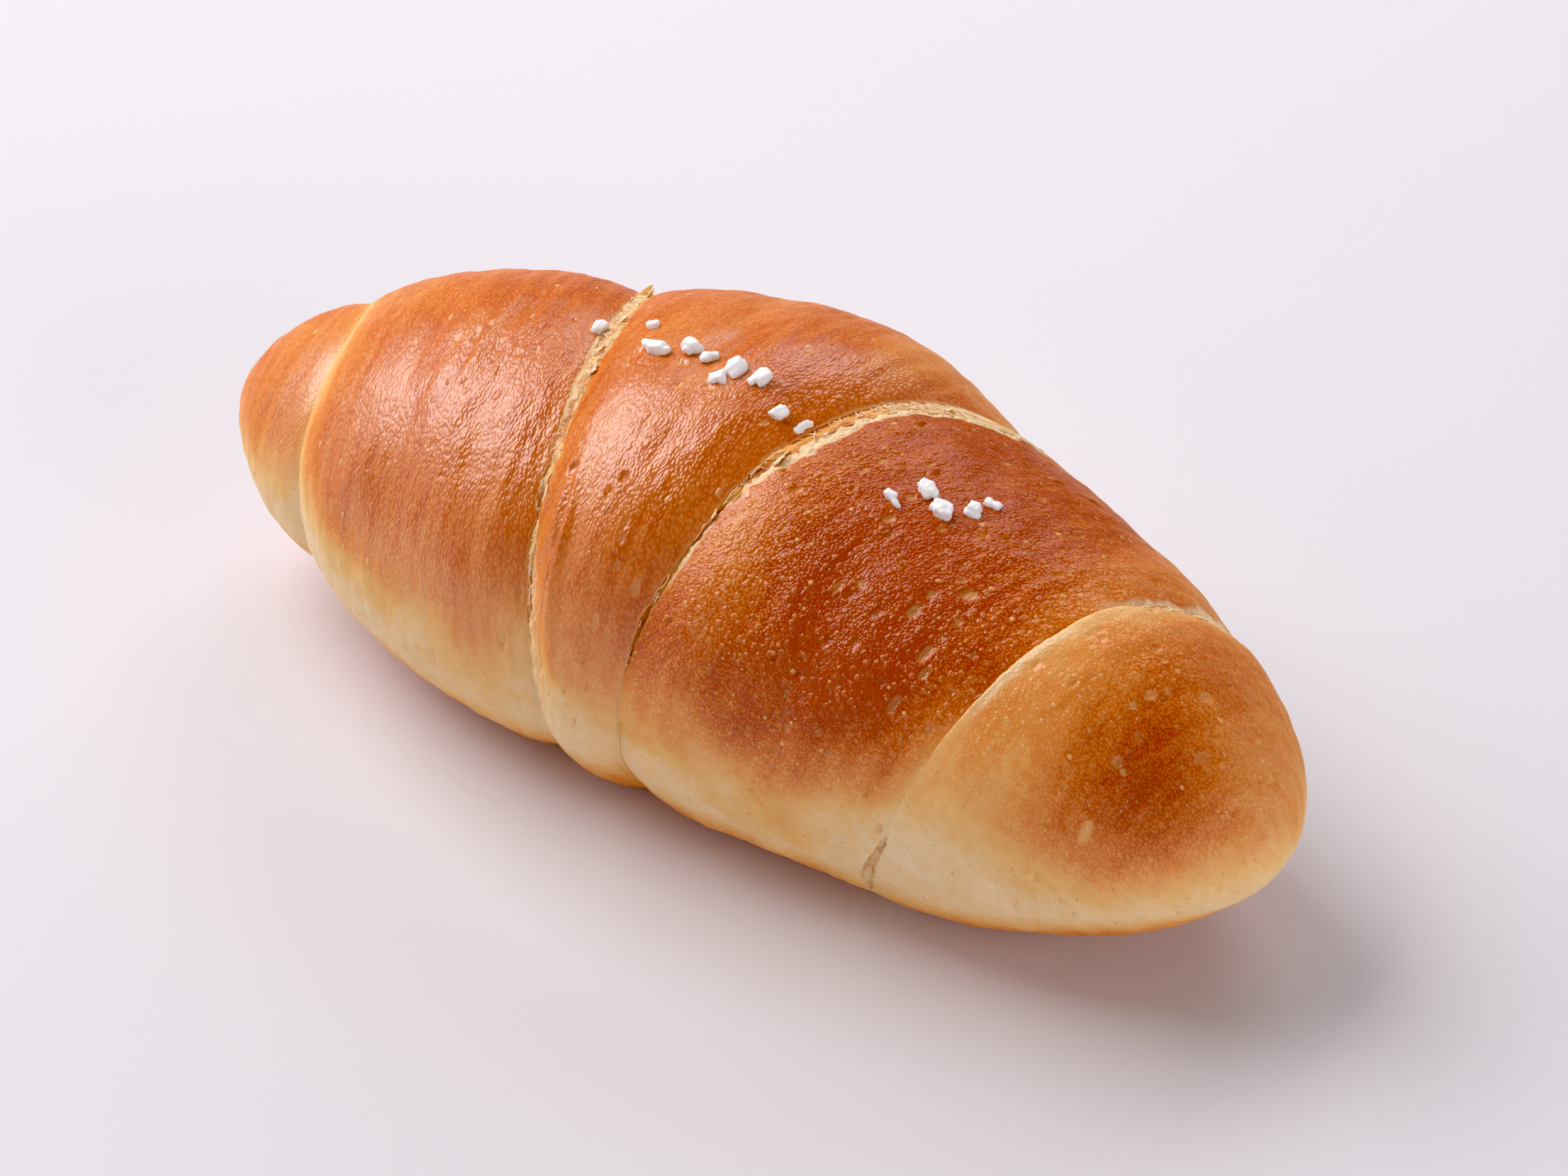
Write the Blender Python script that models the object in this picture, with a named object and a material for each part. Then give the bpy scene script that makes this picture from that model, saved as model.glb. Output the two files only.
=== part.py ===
"""Salt bread roll: a spindle of wound dough, five swollen lobes, four seams, coarse salt on its crest.

The roll lies along +X and rests on a flat underside at z = 0. Lengths are metres.
Girth angles are degrees: 0 on the crest, +90 on the front (-Y), -90 on the back, 180 underneath.
"""
import math

import bmesh
import bpy
import numpy as np
from mathutils import Matrix, Vector

# Whole roll
LENGTH = 0.140
HALF = LENGTH / 2
GIRTH_RADIUS = 0.0319        # radius of the plain spindle at its widest
WIDEST_X = 0.0078            # where the spindle is widest, right of its middle
LEFT_TAPER = (1.65, 1.86)    # how full the left end is: power along, power across
RIGHT_TAPER = (1.29, 1.99)
CROWN_RATIO = 0.90           # height over width, above the core line
BELLY_RATIO = 0.97           # and below it
CROWN_POWER = 2.12           # 2 is an ellipse, more is squarer
BELLY_POWER = 2.20
CORE_HEIGHT = 0.0234         # core line above the table at the middle
LEFT_DROOP = 0.0030          # core line sinks this much towards each end
RIGHT_DROOP = 0.0044
DROOP_POWER = 2.2
BEND = 0.0028                # both ends bow towards the front
SOLE_BLEND = 0.0020          # how softly the underside turns into the flat sole

# Seams between the lobes, left to right: x of each seam every 45 degrees round the girth
SEAM_ANGLES = (-45, 0, 45, 90, 135, 180, 225, 270)
SEAM_A = (-0.0585, -0.0539, -0.0514, -0.0505, -0.0506, -0.0530, -0.0580, -0.0605)
SEAM_B = (-0.0260, -0.0207, -0.0156, -0.0124, -0.0125, -0.0170, -0.0240, -0.0295)
SEAM_C = (0.0174, 0.0084, 0.0031, -0.0007, -0.0020, 0.0070, 0.0200, 0.0270)
SEAM_D = (0.0538, 0.0462, 0.0396, 0.0339, 0.0290, 0.0360, 0.0490, 0.0570)
SEAMS = (SEAM_A, SEAM_B, SEAM_C, SEAM_D)
SEAM_DEPTHS = (0.0024, 0.0014, 0.0024, 0.0028)
SEAM_LIFTS = (0.0, -0.0021, -0.0029, 0.0004)     # spindle radius gained or lost at each seam
LOBE_CROWNS = (0.0003, 0.0015, 0.0024, -0.0015, 0.0008)
FULL_CROWN_WIDTH = 0.026     # a lobe narrower than this swells less
LEFT_FLANKS = (0.010, 0.009, 0.011, 0.013)       # width of the slope left of each seam
RIGHT_FLANKS = (0.007, 0.007, 0.007, 0.012)      # width of the shoulder right of it
RELIEF_FULL = 138.0          # seams are at full depth up to this girth angle
RELIEF_NONE = 174.0          # and gone here, on the sole

# Soft furrows in the crust: lobe number, part of the lobe at each end, girth angles, depth, width
FURROWS = (
    (2, 0.30, 0.66, -60.0, 34.0, 0.0007, 0.0030),
    (2, 0.20, 0.33, 26.0, 88.0, -0.0005, 0.0011),
    (1, 0.30, 0.50, -20.0, 75.0, 0.0004, 0.0026),
    (1, 0.64, 0.78, -10.0, 70.0, 0.0004, 0.0022),
    (3, 0.42, 0.60, 20.0, 85.0, 0.0004, 0.0030),
    (3, 0.70, 0.74, -50.0, 5.0, 0.0003, 0.0026),
)

# Mesh fineness
RINGS = (12, 20, 20, 20, 22)  # rings in each lobe
AROUND = 52

# Salt grains: x, girth angle, length, width, height, turn of the length from +X in degrees
GRAINS = (
    (-0.0229, -5.5, 0.0026, 0.0016, 0.0017, 80),
    (-0.0161, -7.0, 0.0018, 0.0015, 0.0012, 10),
    (-0.0127, 1.5, 0.0039, 0.0024, 0.0022, 0),
    (-0.0091, -1.0, 0.0027, 0.0025, 0.0023, 60),
    (-0.0065, -0.5, 0.0024, 0.0020, 0.0018, 40),
    (-0.0027, 0.5, 0.0028, 0.0026, 0.0024, 70),
    (-0.0037, 4.5, 0.0022, 0.0020, 0.0017, 20),
    (0.0003, 0.5, 0.0028, 0.0022, 0.0021, 75),
    (0.0043, 5.0, 0.0027, 0.0020, 0.0020, 75),
    (0.0068, 4.0, 0.0030, 0.0015, 0.0016, 70),
    (0.0205, 10.5, 0.0027, 0.0016, 0.0017, -10),
    (0.0227, 3.0, 0.0032, 0.0024, 0.0021, -15),
    (0.0253, 6.0, 0.0030, 0.0026, 0.0020, 25),
    (0.0281, 1.0, 0.0026, 0.0022, 0.0018, 15),
    (0.0290, -4.5, 0.0026, 0.0017, 0.0017, -5),
)
GRAIN_SUNK = 0.30             # part of a grain's height that is baked into the crust
GRAIN_CORNERS = 15
SEED = 11


def seam_x(stations, angle):
    """x of a seam at the given girth angles: a closed smooth curve through its stations."""
    values = np.asarray(stations)
    place = (np.asarray(angle, float) - SEAM_ANGLES[0]) / 45.0
    index = np.floor(place).astype(int)
    f = place - index
    before, here, there, after = (values[(index + k) % 8] for k in (-1, 0, 1, 2))
    curve = 2 * here + (there - before) * f
    curve = curve + (2 * before - 5 * here + 4 * there - after) * f ** 2
    curve = curve + (3 * here - before - 3 * there + after) * f ** 3
    return curve / 2


def borders(angle):
    """The six x positions that bound the five lobes, ends included."""
    ends = np.full_like(np.asarray(angle, float), HALF)
    return [-ends] + [seam_x(s, angle) for s in SEAMS] + [ends]


def spindle_radius(x):
    """Radius of the plain spindle, without lobes."""
    left = np.clip(1 - (np.abs(x - WIDEST_X) / (HALF + WIDEST_X)) ** LEFT_TAPER[0], 0, 1)
    right = np.clip(1 - (np.abs(x - WIDEST_X) / (HALF - WIDEST_X)) ** RIGHT_TAPER[0], 0, 1)
    shape = np.where(x < WIDEST_X, left ** (1 / LEFT_TAPER[1]), right ** (1 / RIGHT_TAPER[1]))
    return GIRTH_RADIUS * shape


def relief_strength(angle):
    """1 where seams are at full depth, 0 on the sole."""
    turn = np.abs((np.asarray(angle, float) + 180) % 360 - 180)
    s = np.clip((RELIEF_NONE - turn) / (RELIEF_NONE - RELIEF_FULL), 0, 1)
    return s * s * (3 - 2 * s)


def flank(distance, width):
    """Quarter-round drop into a seam: 1 at the seam, 0 a flank's width away."""
    s = np.clip(distance / width, 0, 1)
    return 1 - np.sqrt(np.clip(1 - (1 - s) ** 2, 0, 1))


def lift(lobe, part):
    """Spindle radius gained or lost along a lobe, from its left seam to its right seam."""
    if lobe == 0:
        return SEAM_LIFTS[0] * part * (2 - part)
    if lobe == 4:
        return SEAM_LIFTS[3] * (1 - part ** 2)
    return SEAM_LIFTS[lobe - 1] + (SEAM_LIFTS[lobe] - SEAM_LIFTS[lobe - 1]) * part


def furrows(lobe, part, width_of_lobe, angle):
    """Depth of the soft furrows at a point of a lobe."""
    turn = (angle + 180) % 360 - 180
    depth = np.zeros_like(part)
    for number, start, end, from_angle, to_angle, deep, wide in FURROWS:
        if number == lobe:
            along = np.clip((turn - from_angle) / (to_angle - from_angle), 0, 1)
            off = (part - (start + (end - start) * along)) * width_of_lobe / wide
            fade = np.sin(math.pi * along) ** 0.8
            depth = depth + deep * fade * np.exp(-off ** 2)
    return depth


def surface(lobe, part, angle):
    """Points of the crust for a part (0 to 1) of a lobe's width and a girth angle."""
    lines = borders(angle)
    wide = lines[lobe + 1] - lines[lobe]
    x = lines[lobe] + part * wide
    strength = relief_strength(angle)
    swell = LOBE_CROWNS[lobe] * 4 * part * (1 - part) * np.clip(wide / FULL_CROWN_WIDTH, 0, 1)
    for number in range(4):
        offset = x - lines[number + 1]
        left = flank(-offset, LEFT_FLANKS[number])
        right = flank(offset, RIGHT_FLANKS[number])
        drop = np.where(offset < 0, left, right)
        swell = swell - SEAM_DEPTHS[number] * drop
    swell = swell - furrows(lobe, part, wide, angle)
    radius = np.maximum(spindle_radius(x) + lift(lobe, part) + strength * swell, 0)
    return place_on_girth(x, radius, angle)


def place_on_girth(x, radius, angle):
    """Turn a radius at a station and a girth angle into a point, flattened on the table."""
    c = np.cos(np.radians(angle))
    s = np.sin(np.radians(angle))
    power = np.where(c >= 0, CROWN_POWER, BELLY_POWER)
    ratio = np.where(c >= 0, CROWN_RATIO, BELLY_RATIO)
    square = (np.abs(c) ** power + np.abs(s) ** power) ** (-1 / power)
    y = -radius * s * square - BEND * (x / HALF) ** 2
    droop = np.where(x < 0, LEFT_DROOP, RIGHT_DROOP) * np.abs(x / HALF) ** DROOP_POWER
    z = CORE_HEIGHT - droop + radius * ratio * c * square
    blend = (z + SOLE_BLEND) ** 2 / (4 * SOLE_BLEND)
    z = np.where(z < -SOLE_BLEND, 0.0, np.where(z > SOLE_BLEND, z, blend))
    return np.stack([x, y, z], -1)


def ring_parts(lobe):
    """Where a lobe's rings lie across it, closer together by the seams and the ends."""
    count = RINGS[lobe]
    even = np.arange(count) / count
    if lobe == 0:
        return 1 - np.cos(math.pi / 2 * np.arange(1, count) / count)
    if lobe == 4:
        return np.sin(math.pi / 2 * even)
    return (even + (1 - np.cos(math.pi * even)) / 2) / 2


def ring_grid():
    """All rings of the roll from the left end to the right end."""
    angles = np.arange(AROUND) * 360.0 / AROUND
    rings = []
    for lobe in range(5):
        for part in ring_parts(lobe):
            rings.append(surface(lobe, np.full_like(angles, part), angles))
    return rings


def mesh_object(name, bm):
    """Make an object of a bmesh and link it to the scene."""
    mesh = bpy.data.meshes.new(name)
    bm.to_mesh(mesh)
    bm.free()
    obj = bpy.data.objects.new(name, mesh)
    bpy.context.scene.collection.objects.link(obj)
    return obj


def roll_body():
    """The closed skin of the roll: rings bridged with quads, a fan of triangles at each end."""
    bm = bmesh.new()
    rows = [[bm.verts.new(Vector(point)) for point in ring] for ring in ring_grid()]
    left = bm.verts.new(Vector(surface(0, np.array(0.0), np.array(0.0))))
    right = bm.verts.new(Vector(surface(4, np.array(1.0), np.array(0.0))))
    for row, following in zip(rows, rows[1:]):
        for k in range(AROUND):
            n = (k + 1) % AROUND
            bm.faces.new((row[k], row[n], following[n], following[k]))
    for k in range(AROUND):
        n = (k + 1) % AROUND
        bm.faces.new((left, rows[0][n], rows[0][k]))
        bm.faces.new((right, rows[-1][k], rows[-1][n]))
    bmesh.ops.recalc_face_normals(bm, faces=bm.faces[:])
    return mesh_object("bread_roll", bm)


def lobe_at(x, angle):
    """Lobe number and part of its width for a station at a girth angle."""
    lines = [float(v) for v in borders(np.array(float(angle)))]
    for lobe in range(5):
        if x <= lines[lobe + 1]:
            return lobe, (x - lines[lobe]) / (lines[lobe + 1] - lines[lobe])
    return 4, 1.0


def crust_point(x, angle):
    """A point of the crust."""
    lobe, part = lobe_at(x, angle)
    return Vector(surface(lobe, np.array(part), np.array(float(angle))))


def crust_frame(x, angle, turn):
    """Axes of a grain on the crust: its length turned in the tangent plane, its height outward."""
    step = 0.0012
    along = crust_point(x + step, angle) - crust_point(x - step, angle)
    around = crust_point(x, angle - 2.5) - crust_point(x, angle + 2.5)
    up = along.cross(around).normalized()
    ahead = (along - up * along.dot(up)).normalized()
    side = up.cross(ahead)
    long_axis = ahead * math.cos(math.radians(turn)) + side * math.sin(math.radians(turn))
    wide_axis = up.cross(long_axis)
    return Matrix((long_axis, wide_axis, up)).transposed()


def salt_grain(name, x, angle, size, turn, rng):
    """One chipped crystal: the hull of corners scattered on a flattened ball, set in the crust."""
    axes = crust_frame(x, angle, turn)
    centre = crust_point(x, angle) + axes.col[2] * size[2] * (0.5 - GRAIN_SUNK)
    bm = bmesh.new()
    for k in range(GRAIN_CORNERS):
        level = 1 - 2 * (k + 0.5) / GRAIN_CORNERS
        spin = k * math.pi * (3 - math.sqrt(5)) + rng.uniform(-0.35, 0.35)
        flat = math.sqrt(1 - level * level)
        corner = Vector((flat * math.cos(spin), flat * math.sin(spin), level))
        corner *= rng.uniform(0.86, 1.06)
        scaled = Vector(tuple(corner[i] * size[i] / 2 for i in range(3)))
        bm.verts.new(centre + axes @ scaled)
    bmesh.ops.convex_hull(bm, input=bm.verts[:])
    loose = [v for v in bm.verts if not v.link_faces]
    bmesh.ops.delete(bm, geom=loose, context="VERTS")
    bmesh.ops.triangulate(bm, faces=bm.faces[:])
    bmesh.ops.recalc_face_normals(bm, faces=bm.faces[:])
    return mesh_object(name, bm)


def salt_grains():
    """All the grains, gathered in one collection."""
    rng = np.random.default_rng(SEED)
    group = bpy.data.collections.new("salt")
    bpy.context.scene.collection.children.link(group)
    for number, (x, angle, length, width, height, turn) in enumerate(GRAINS):
        name = "salt_%02d" % number
        grain = salt_grain(name, x, angle, (length, width, height), turn, rng)
        bpy.context.scene.collection.objects.unlink(grain)
        group.objects.link(grain)
    return group


def crust_material():
    """Baked crust, golden brown with a soft egg-wash sheen."""
    material = bpy.data.materials.new("golden_crust")
    material.use_nodes = True
    shader = material.node_tree.nodes["Principled BSDF"]
    shader.inputs["Base Color"].default_value = (0.52, 0.19, 0.055, 1.0)
    shader.inputs["Roughness"].default_value = 0.45
    shader.inputs["Metallic"].default_value = 0.0
    return material


def join_grains(body, group):
    """Join the grains to the roll with one union and remove the loose ones."""
    union = body.modifiers.new("salt", "BOOLEAN")
    union.operation = "UNION"
    union.operand_type = "COLLECTION"
    union.collection = group
    union.solver = "EXACT"
    bpy.context.view_layer.objects.active = body
    bpy.ops.object.modifier_apply(modifier=union.name)
    for grain in list(group.objects):
        bpy.data.objects.remove(grain)
    bpy.data.collections.remove(group)


def centre_on_table(body):
    """Put the origin below the middle of the roll, on the table."""
    xyz = np.array([v.co[:] for v in body.data.vertices])
    middle = (xyz.max(0) + xyz.min(0)) / 2
    body.data.transform(Matrix.Translation((-middle[0], -middle[1], 0.0)))


def finish_surface(body):
    """Smooth shading with the salt's edges and the deep seams kept crisp."""
    body.data.materials.clear()
    body.data.materials.append(crust_material())
    body.data.shade_smooth()
    body.data.set_sharp_from_angle(angle=math.radians(50))


def build():
    for obj in list(bpy.data.objects):
        bpy.data.objects.remove(obj)
    body = roll_body()
    join_grains(body, salt_grains())
    centre_on_table(body)
    finish_surface(body)


build()
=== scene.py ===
"""Salt bread roll: five baked lobes, torn seams with bare dough, coarse salt, plain studio.

The roll lies along +X and rests on z = 0. Lengths are metres, except where a name ends in _MM or
a comment says mm. Shares run from 0 to 1.
Girth angles are degrees: 0 on the crest, +90 on the front (-Y), -90 on the back, 180 underneath.
"""
import math
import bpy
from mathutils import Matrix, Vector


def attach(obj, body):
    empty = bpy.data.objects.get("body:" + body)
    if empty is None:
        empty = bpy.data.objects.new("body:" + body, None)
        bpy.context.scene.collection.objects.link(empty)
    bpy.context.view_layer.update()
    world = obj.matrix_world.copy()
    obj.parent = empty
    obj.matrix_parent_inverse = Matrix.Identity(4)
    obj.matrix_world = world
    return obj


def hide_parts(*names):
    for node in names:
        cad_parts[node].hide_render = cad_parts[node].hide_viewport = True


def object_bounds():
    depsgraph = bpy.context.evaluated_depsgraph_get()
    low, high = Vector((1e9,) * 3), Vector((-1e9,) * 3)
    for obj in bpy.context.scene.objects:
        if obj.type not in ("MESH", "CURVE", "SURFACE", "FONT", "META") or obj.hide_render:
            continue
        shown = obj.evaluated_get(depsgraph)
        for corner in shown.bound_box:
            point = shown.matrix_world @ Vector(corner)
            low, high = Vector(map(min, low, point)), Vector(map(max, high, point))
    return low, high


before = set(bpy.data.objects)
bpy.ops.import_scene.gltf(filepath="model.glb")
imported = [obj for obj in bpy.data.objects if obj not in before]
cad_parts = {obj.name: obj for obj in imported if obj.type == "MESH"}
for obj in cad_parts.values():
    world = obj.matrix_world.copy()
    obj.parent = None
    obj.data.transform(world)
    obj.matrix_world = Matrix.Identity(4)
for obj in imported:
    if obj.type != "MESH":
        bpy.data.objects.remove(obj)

from types import SimpleNamespace

import bpy
import numpy as np
from bpy.props import FloatProperty, FloatVectorProperty, IntProperty, PointerProperty
from mathutils import Matrix, Vector

bl_info = {
    "name": "Salt Bread Roll",
    "version": (1, 0, 0),
    "blender": (4, 5, 0),
    "location": "3D View > Sidebar > Bread",
    "description": "Dresses the salt bread roll with crust, bare dough, salt and a plain studio",
    "category": "Add Mesh",
}

CAD_NODE = "bread_roll"
CAD_LOW, CAD_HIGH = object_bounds()
MM = 0.001

# ---------------------------------------------------------------- form of the roll, as in the CAD
HALF = 0.070                # half of the length
GIRTH_RADIUS = 0.0319
WIDEST_X = 0.0078
LEFT_TAPER = (1.65, 1.86)   # powers of the spindle left and right of its widest place
RIGHT_TAPER = (1.29, 1.99)
CROWN_RATIO = 0.90          # height over width, above and below the core
BELLY_RATIO = 0.97
CROWN_POWER = 2.12          # 2 is an ellipse, more is squarer
BELLY_POWER = 2.20
CORE_HEIGHT = 0.0234
LEFT_DROOP = 0.0030         # how much lower the core lies at each end
RIGHT_DROOP = 0.0044
DROOP_POWER = 2.2
BEND = 0.0028               # how far the ends curve towards the front
SOLE_BLEND = 0.0020         # rounding where the roll meets the table
DEGREE_MM = math.radians(1) * GIRTH_RADIUS / MM
STATION_STEP = 45.0         # degrees between the stations of a seam, the first at -45
SEAMS = (                   # x of each seam at its stations
    (-0.0585, -0.0539, -0.0514, -0.0505, -0.0506, -0.0530, -0.0580, -0.0605),
    (-0.0260, -0.0207, -0.0156, -0.0124, -0.0125, -0.0170, -0.0240, -0.0295),
    (0.0174, 0.0084, 0.0031, -0.0007, -0.0020, 0.0070, 0.0200, 0.0270),
    (0.0538, 0.0462, 0.0396, 0.0339, 0.0290, 0.0360, 0.0490, 0.0570),
)
SEAM_DEPTHS = (0.0024, 0.0014, 0.0024, 0.0028)
SEAM_LIFTS = (0.0, -0.0021, -0.0029, 0.0004)    # spindle radius gained at each seam
LOBE_CROWNS = (0.0003, 0.0015, 0.0024, -0.0015, 0.0008)
FULL_CROWN_WIDTH = 0.026                        # a narrower lobe swells less
LEFT_FLANKS = (0.010, 0.009, 0.011, 0.013)      # how wide each seam's two sides are
RIGHT_FLANKS = (0.007, 0.007, 0.007, 0.012)
RELIEF_FULL, RELIEF_NONE = 138.0, 174.0         # girth angles between which the relief fades

# Creases and folds of the crust: lobe, part of the lobe at each end, girth angles, depth, width
FURROWS = (
    (2, 0.30, 0.66, -60.0, 34.0, 0.0007, 0.0030),
    (2, 0.20, 0.33, 26.0, 88.0, -0.0005, 0.0011),
    (1, 0.30, 0.50, -20.0, 75.0, 0.0004, 0.0026),
    (1, 0.64, 0.78, -10.0, 70.0, 0.0004, 0.0022),
    (3, 0.42, 0.60, 20.0, 85.0, 0.0004, 0.0030),
    (3, 0.70, 0.74, -50.0, 5.0, 0.0003, 0.0026),
)

# ---------------------------------------------------------------- finish of the lobes
LOBE_NAMES = ("crust_left_tip", "crust_left", "crust_centre", "crust_right", "crust_right_tip")
LOBE_ROWS = (82, 139, 139, 149, 140)
LOBE_COLUMNS = (332, 600, 600, 600, 560)

# How far the gap at each seam opens to the left and to the right of it: girth angle, mm, mm
GAPS_MM = (
    ((-180, 0, 0), (180, 0, 0)),
    ((-150, 0, 0), (-110, 0.2, 0.2), (-70, 0.8, 0.8), (-40, 1.0, 1.3), (-10, 0.9, 1.0),
     (10, 0.6, 0.6), (28, 0.6, 0.5), (45, 0.6, 0.5), (60, 0.45, 0.4), (75, 0.2, 0.2),
     (88, 0.1, 0.1), (120, 0, 0)),
    ((-150, 0, 0), (-110, 0.2, 0.5), (-75, 0.0, 2.5), (-50, -1.2, 5.6), (-36, -1.8, 6.0),
     (-26, -1.4, 4.0), (-17, -0.6, 2.3), (-4, -0.4, 1.8), (7, -0.1, 1.3), (18, 0.3, 0.6),
     (34, 0.15, 0.1), (50, 0.25, 0.2), (62, 0.35, 0.25), (74, 0.2, 0.15), (90, 0.05, 0.1),
     (110, 0, 0)),
    ((-150, 0, 0), (-110, 0.2, 0.4), (-70, 0.5, 1.8), (-45, 0.6, 2.6), (-34, 0.5, 1.9),
     (-26, 0.4, 0.9), (-14, 0.35, 0.35), (-5, 0.15, 0.1), (6, 0, 0), (90, 0, 0),
     (98, 0.30, 0.20), (107, 0.60, 0.40), (116, 0.75, 0.55), (124, 0.40, 0.30), (132, 0, 0)),
)

# Share of each seam's depth that is left where the seam is closed
CREASE_DEPTHS = (0.52, 0.60, 0.52, 0.46)

# How brown the crust is along the roll: x in mm, tone at its brownest, back and front girth
# angles where it turns pale
BAKE_STATIONS = (
    (-70, 0.62, -70, 76), (-57, 0.64, -72, 80), (-47, 0.67, -74, 84), (-36, 0.72, -76, 86),
    (-27, 0.73, -76, 92), (-18, 0.72, -74, 94), (-12, 0.66, -70, 84), (-4, 0.70, -66, 94),
    (3, 0.80, -62, 94), (10, 0.80, -56, 94), (18, 0.90, -56, 94), (26, 0.93, -58, 92),
    (33, 0.90, -60, 86), (39, 0.82, -62, 74), (45, 0.60, -60, 84), (50, 0.60, -60, 90),
    (57, 0.72, -62, 94), (64, 0.52, -62, 94), (70, 0.42, -66, 84),
)


class RollSettings(bpy.types.PropertyGroup):
    """Sizes and colours of the roll's finish."""

    blister_height: FloatProperty(
        name="Blister height", description="How far a full-sized crust blister stands out",
        default=0.00042, min=0.0, max=0.001, unit="LENGTH", subtype="DISTANCE")
    lip_height: FloatProperty(
        name="Lip height", description="How far the thin torn edges curl up at the seams",
        default=0.00010, min=0.0, max=0.001, unit="LENGTH", subtype="DISTANCE")
    unevenness: FloatProperty(
        name="Unevenness", description="Soft waves of the crust",
        default=0.00030, min=0.0, max=0.002, unit="LENGTH", subtype="DISTANCE")
    strip_depth: FloatProperty(
        name="Dough depth", description="How far the bare dough lies below the edges of the crust",
        default=0.00004, min=0.0, max=0.003, unit="LENGTH", subtype="DISTANCE")
    thread_radius: FloatProperty(
        name="Thread radius", description="Radius of the fine dough threads across the seams",
        default=0.00007, min=0.00001, max=0.0005, unit="LENGTH", subtype="DISTANCE")
    salt_chips: IntProperty(
        name="Salt chips", description="Flat chips broken off each salt grain", default=13,
        min=4, max=40)
    cream: FloatVectorProperty(
        name="Pale crust", description="Least baked crust, low on the sides", size=3,
        subtype="COLOR", default=(0.95, 0.74, 0.48), min=0, max=1)
    golden: FloatVectorProperty(
        name="Golden crust", description="Lightly baked crust", size=3,
        subtype="COLOR", default=(0.90, 0.54, 0.21), min=0, max=1)
    orange: FloatVectorProperty(
        name="Orange crust", description="Half baked crust", size=3,
        subtype="COLOR", default=(0.82, 0.31, 0.085), min=0, max=1)
    brown: FloatVectorProperty(
        name="Brown crust", description="Well baked crust", size=3,
        subtype="COLOR", default=(0.64, 0.155, 0.028), min=0, max=1)
    dark: FloatVectorProperty(
        name="Dark crust", description="Brownest crust, on the crowns", size=3,
        subtype="COLOR", default=(0.43, 0.062, 0.009), min=0, max=1)
    blister_tint: FloatVectorProperty(
        name="Blister tint", description="Pale skin of the blisters", size=3,
        subtype="COLOR", default=(0.95, 0.54, 0.21), min=0, max=1)
    edge_tint: FloatVectorProperty(
        name="Torn edge", description="Thin golden edge of the torn crust", size=3,
        subtype="COLOR", default=(0.95, 0.52, 0.20), min=0, max=1)
    crumb_tint: FloatVectorProperty(
        name="Torn crumb", description="Cream crumb along the torn edges", size=3,
        subtype="COLOR", default=(1.0, 0.71, 0.42), min=0, max=1)
    dough_tint: FloatVectorProperty(
        name="Bare dough", description="Glazed dough inside the seams", size=3,
        subtype="COLOR", default=(0.92, 0.37, 0.08), min=0, max=1)
    dough_milky: FloatVectorProperty(
        name="Stretched dough", description="Thin milky dough where a seam gapes", size=3,
        subtype="COLOR", default=(1.0, 0.65, 0.33), min=0, max=1)
    # Painted shade: a darker, redder dough colour laid into the folds of the bare dough and under
    # the crust's edges, where shade falls
    dough_shade_painted: FloatVectorProperty(
        name="Deep dough", description="Shaded hollows of the stretched dough", size=3,
        subtype="COLOR", default=(0.60, 0.15, 0.015), min=0, max=1)
    thread_tint: FloatVectorProperty(
        name="Thread tint", description="Dry white dough threads and flakes", size=3,
        subtype="COLOR", default=(1.0, 0.76, 0.48), min=0, max=1)
    salt_tint: FloatVectorProperty(
        name="Salt tint", description="Coarse salt", size=3,
        subtype="COLOR", default=(1.0, 0.98, 0.965), min=0, max=1)
    floor_tint: FloatVectorProperty(
        name="Floor tint", description="Plain pale floor", size=3,
        subtype="COLOR", default=(0.785, 0.770, 0.810), min=0, max=1)


def settings():
    """The sizes and colours set in the panel."""
    return bpy.context.scene.bread_roll


# ---------------------------------------------------------------- numbers and noise
LATTICE = 32                # cells after which the random values repeat
LATTICE_SHIFT = 1000.0      # cells, so that no place is negative
LINE_GAIN = 1.3             # a line meets few of the lattice's peaks


def smooth(value, start, end):
    """0 at start, 1 at end, eased at both."""
    width = np.subtract(end, start)
    s = np.clip((value - start) / np.where(width == 0, 1e-9, width), 0, 1)
    return s * s * (3 - 2 * s)


def wrapped(angle):
    """Girth angle from -180 to 180."""
    return (np.asarray(angle, float) + 180) % 360 - 180


def flat(across, along):
    """Places on a surface as vectors whose third number is 0."""
    return np.stack([across, along, np.zeros_like(across)], -1)


def lattice_noise(points, cell, seed):
    """Smooth random values from -1 to 1, one lattice cell being `cell` long."""
    table = np.random.default_rng(seed).uniform(-1, 1, (LATTICE, LATTICE, LATTICE))
    scaled = np.asarray(points) / cell + LATTICE_SHIFT
    base = np.floor(scaled).astype(int)
    f = scaled - base
    f = f * f * f * (f * (f * 6 - 15) + 10)
    total = 0.0
    for corner in range(8):
        step = [(corner >> k) & 1 for k in range(3)]
        share = 1.0
        for k in range(3):
            share = share * (f[..., k] if step[k] else 1 - f[..., k])
        total = total + share * table[tuple((base[..., k] + step[k]) % LATTICE for k in range(3))]
    return total


def line_noise(place, cell, seed):
    """Smooth random values from -1 to 1 along a line."""
    place = np.asarray(place, float)
    return lattice_noise(flat(place, np.zeros_like(place)), cell, seed) * LINE_GAIN


# ---------------------------------------------------------------- the form
def seam_x(seam, angle):
    """x of a seam at the given girth angles: a closed smooth curve through its stations."""
    values = np.asarray(SEAMS[seam])
    place = (np.asarray(angle, float) + STATION_STEP) / STATION_STEP
    index = np.floor(place).astype(int)
    f = place - index
    before, here, there, after = (values[(index + k) % len(values)] for k in (-1, 0, 1, 2))
    curve = 2 * here + (there - before) * f
    curve = curve + (2 * before - 5 * here + 4 * there - after) * f ** 2
    curve = curve + (3 * here - before - 3 * there + after) * f ** 3
    return curve / 2


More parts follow.
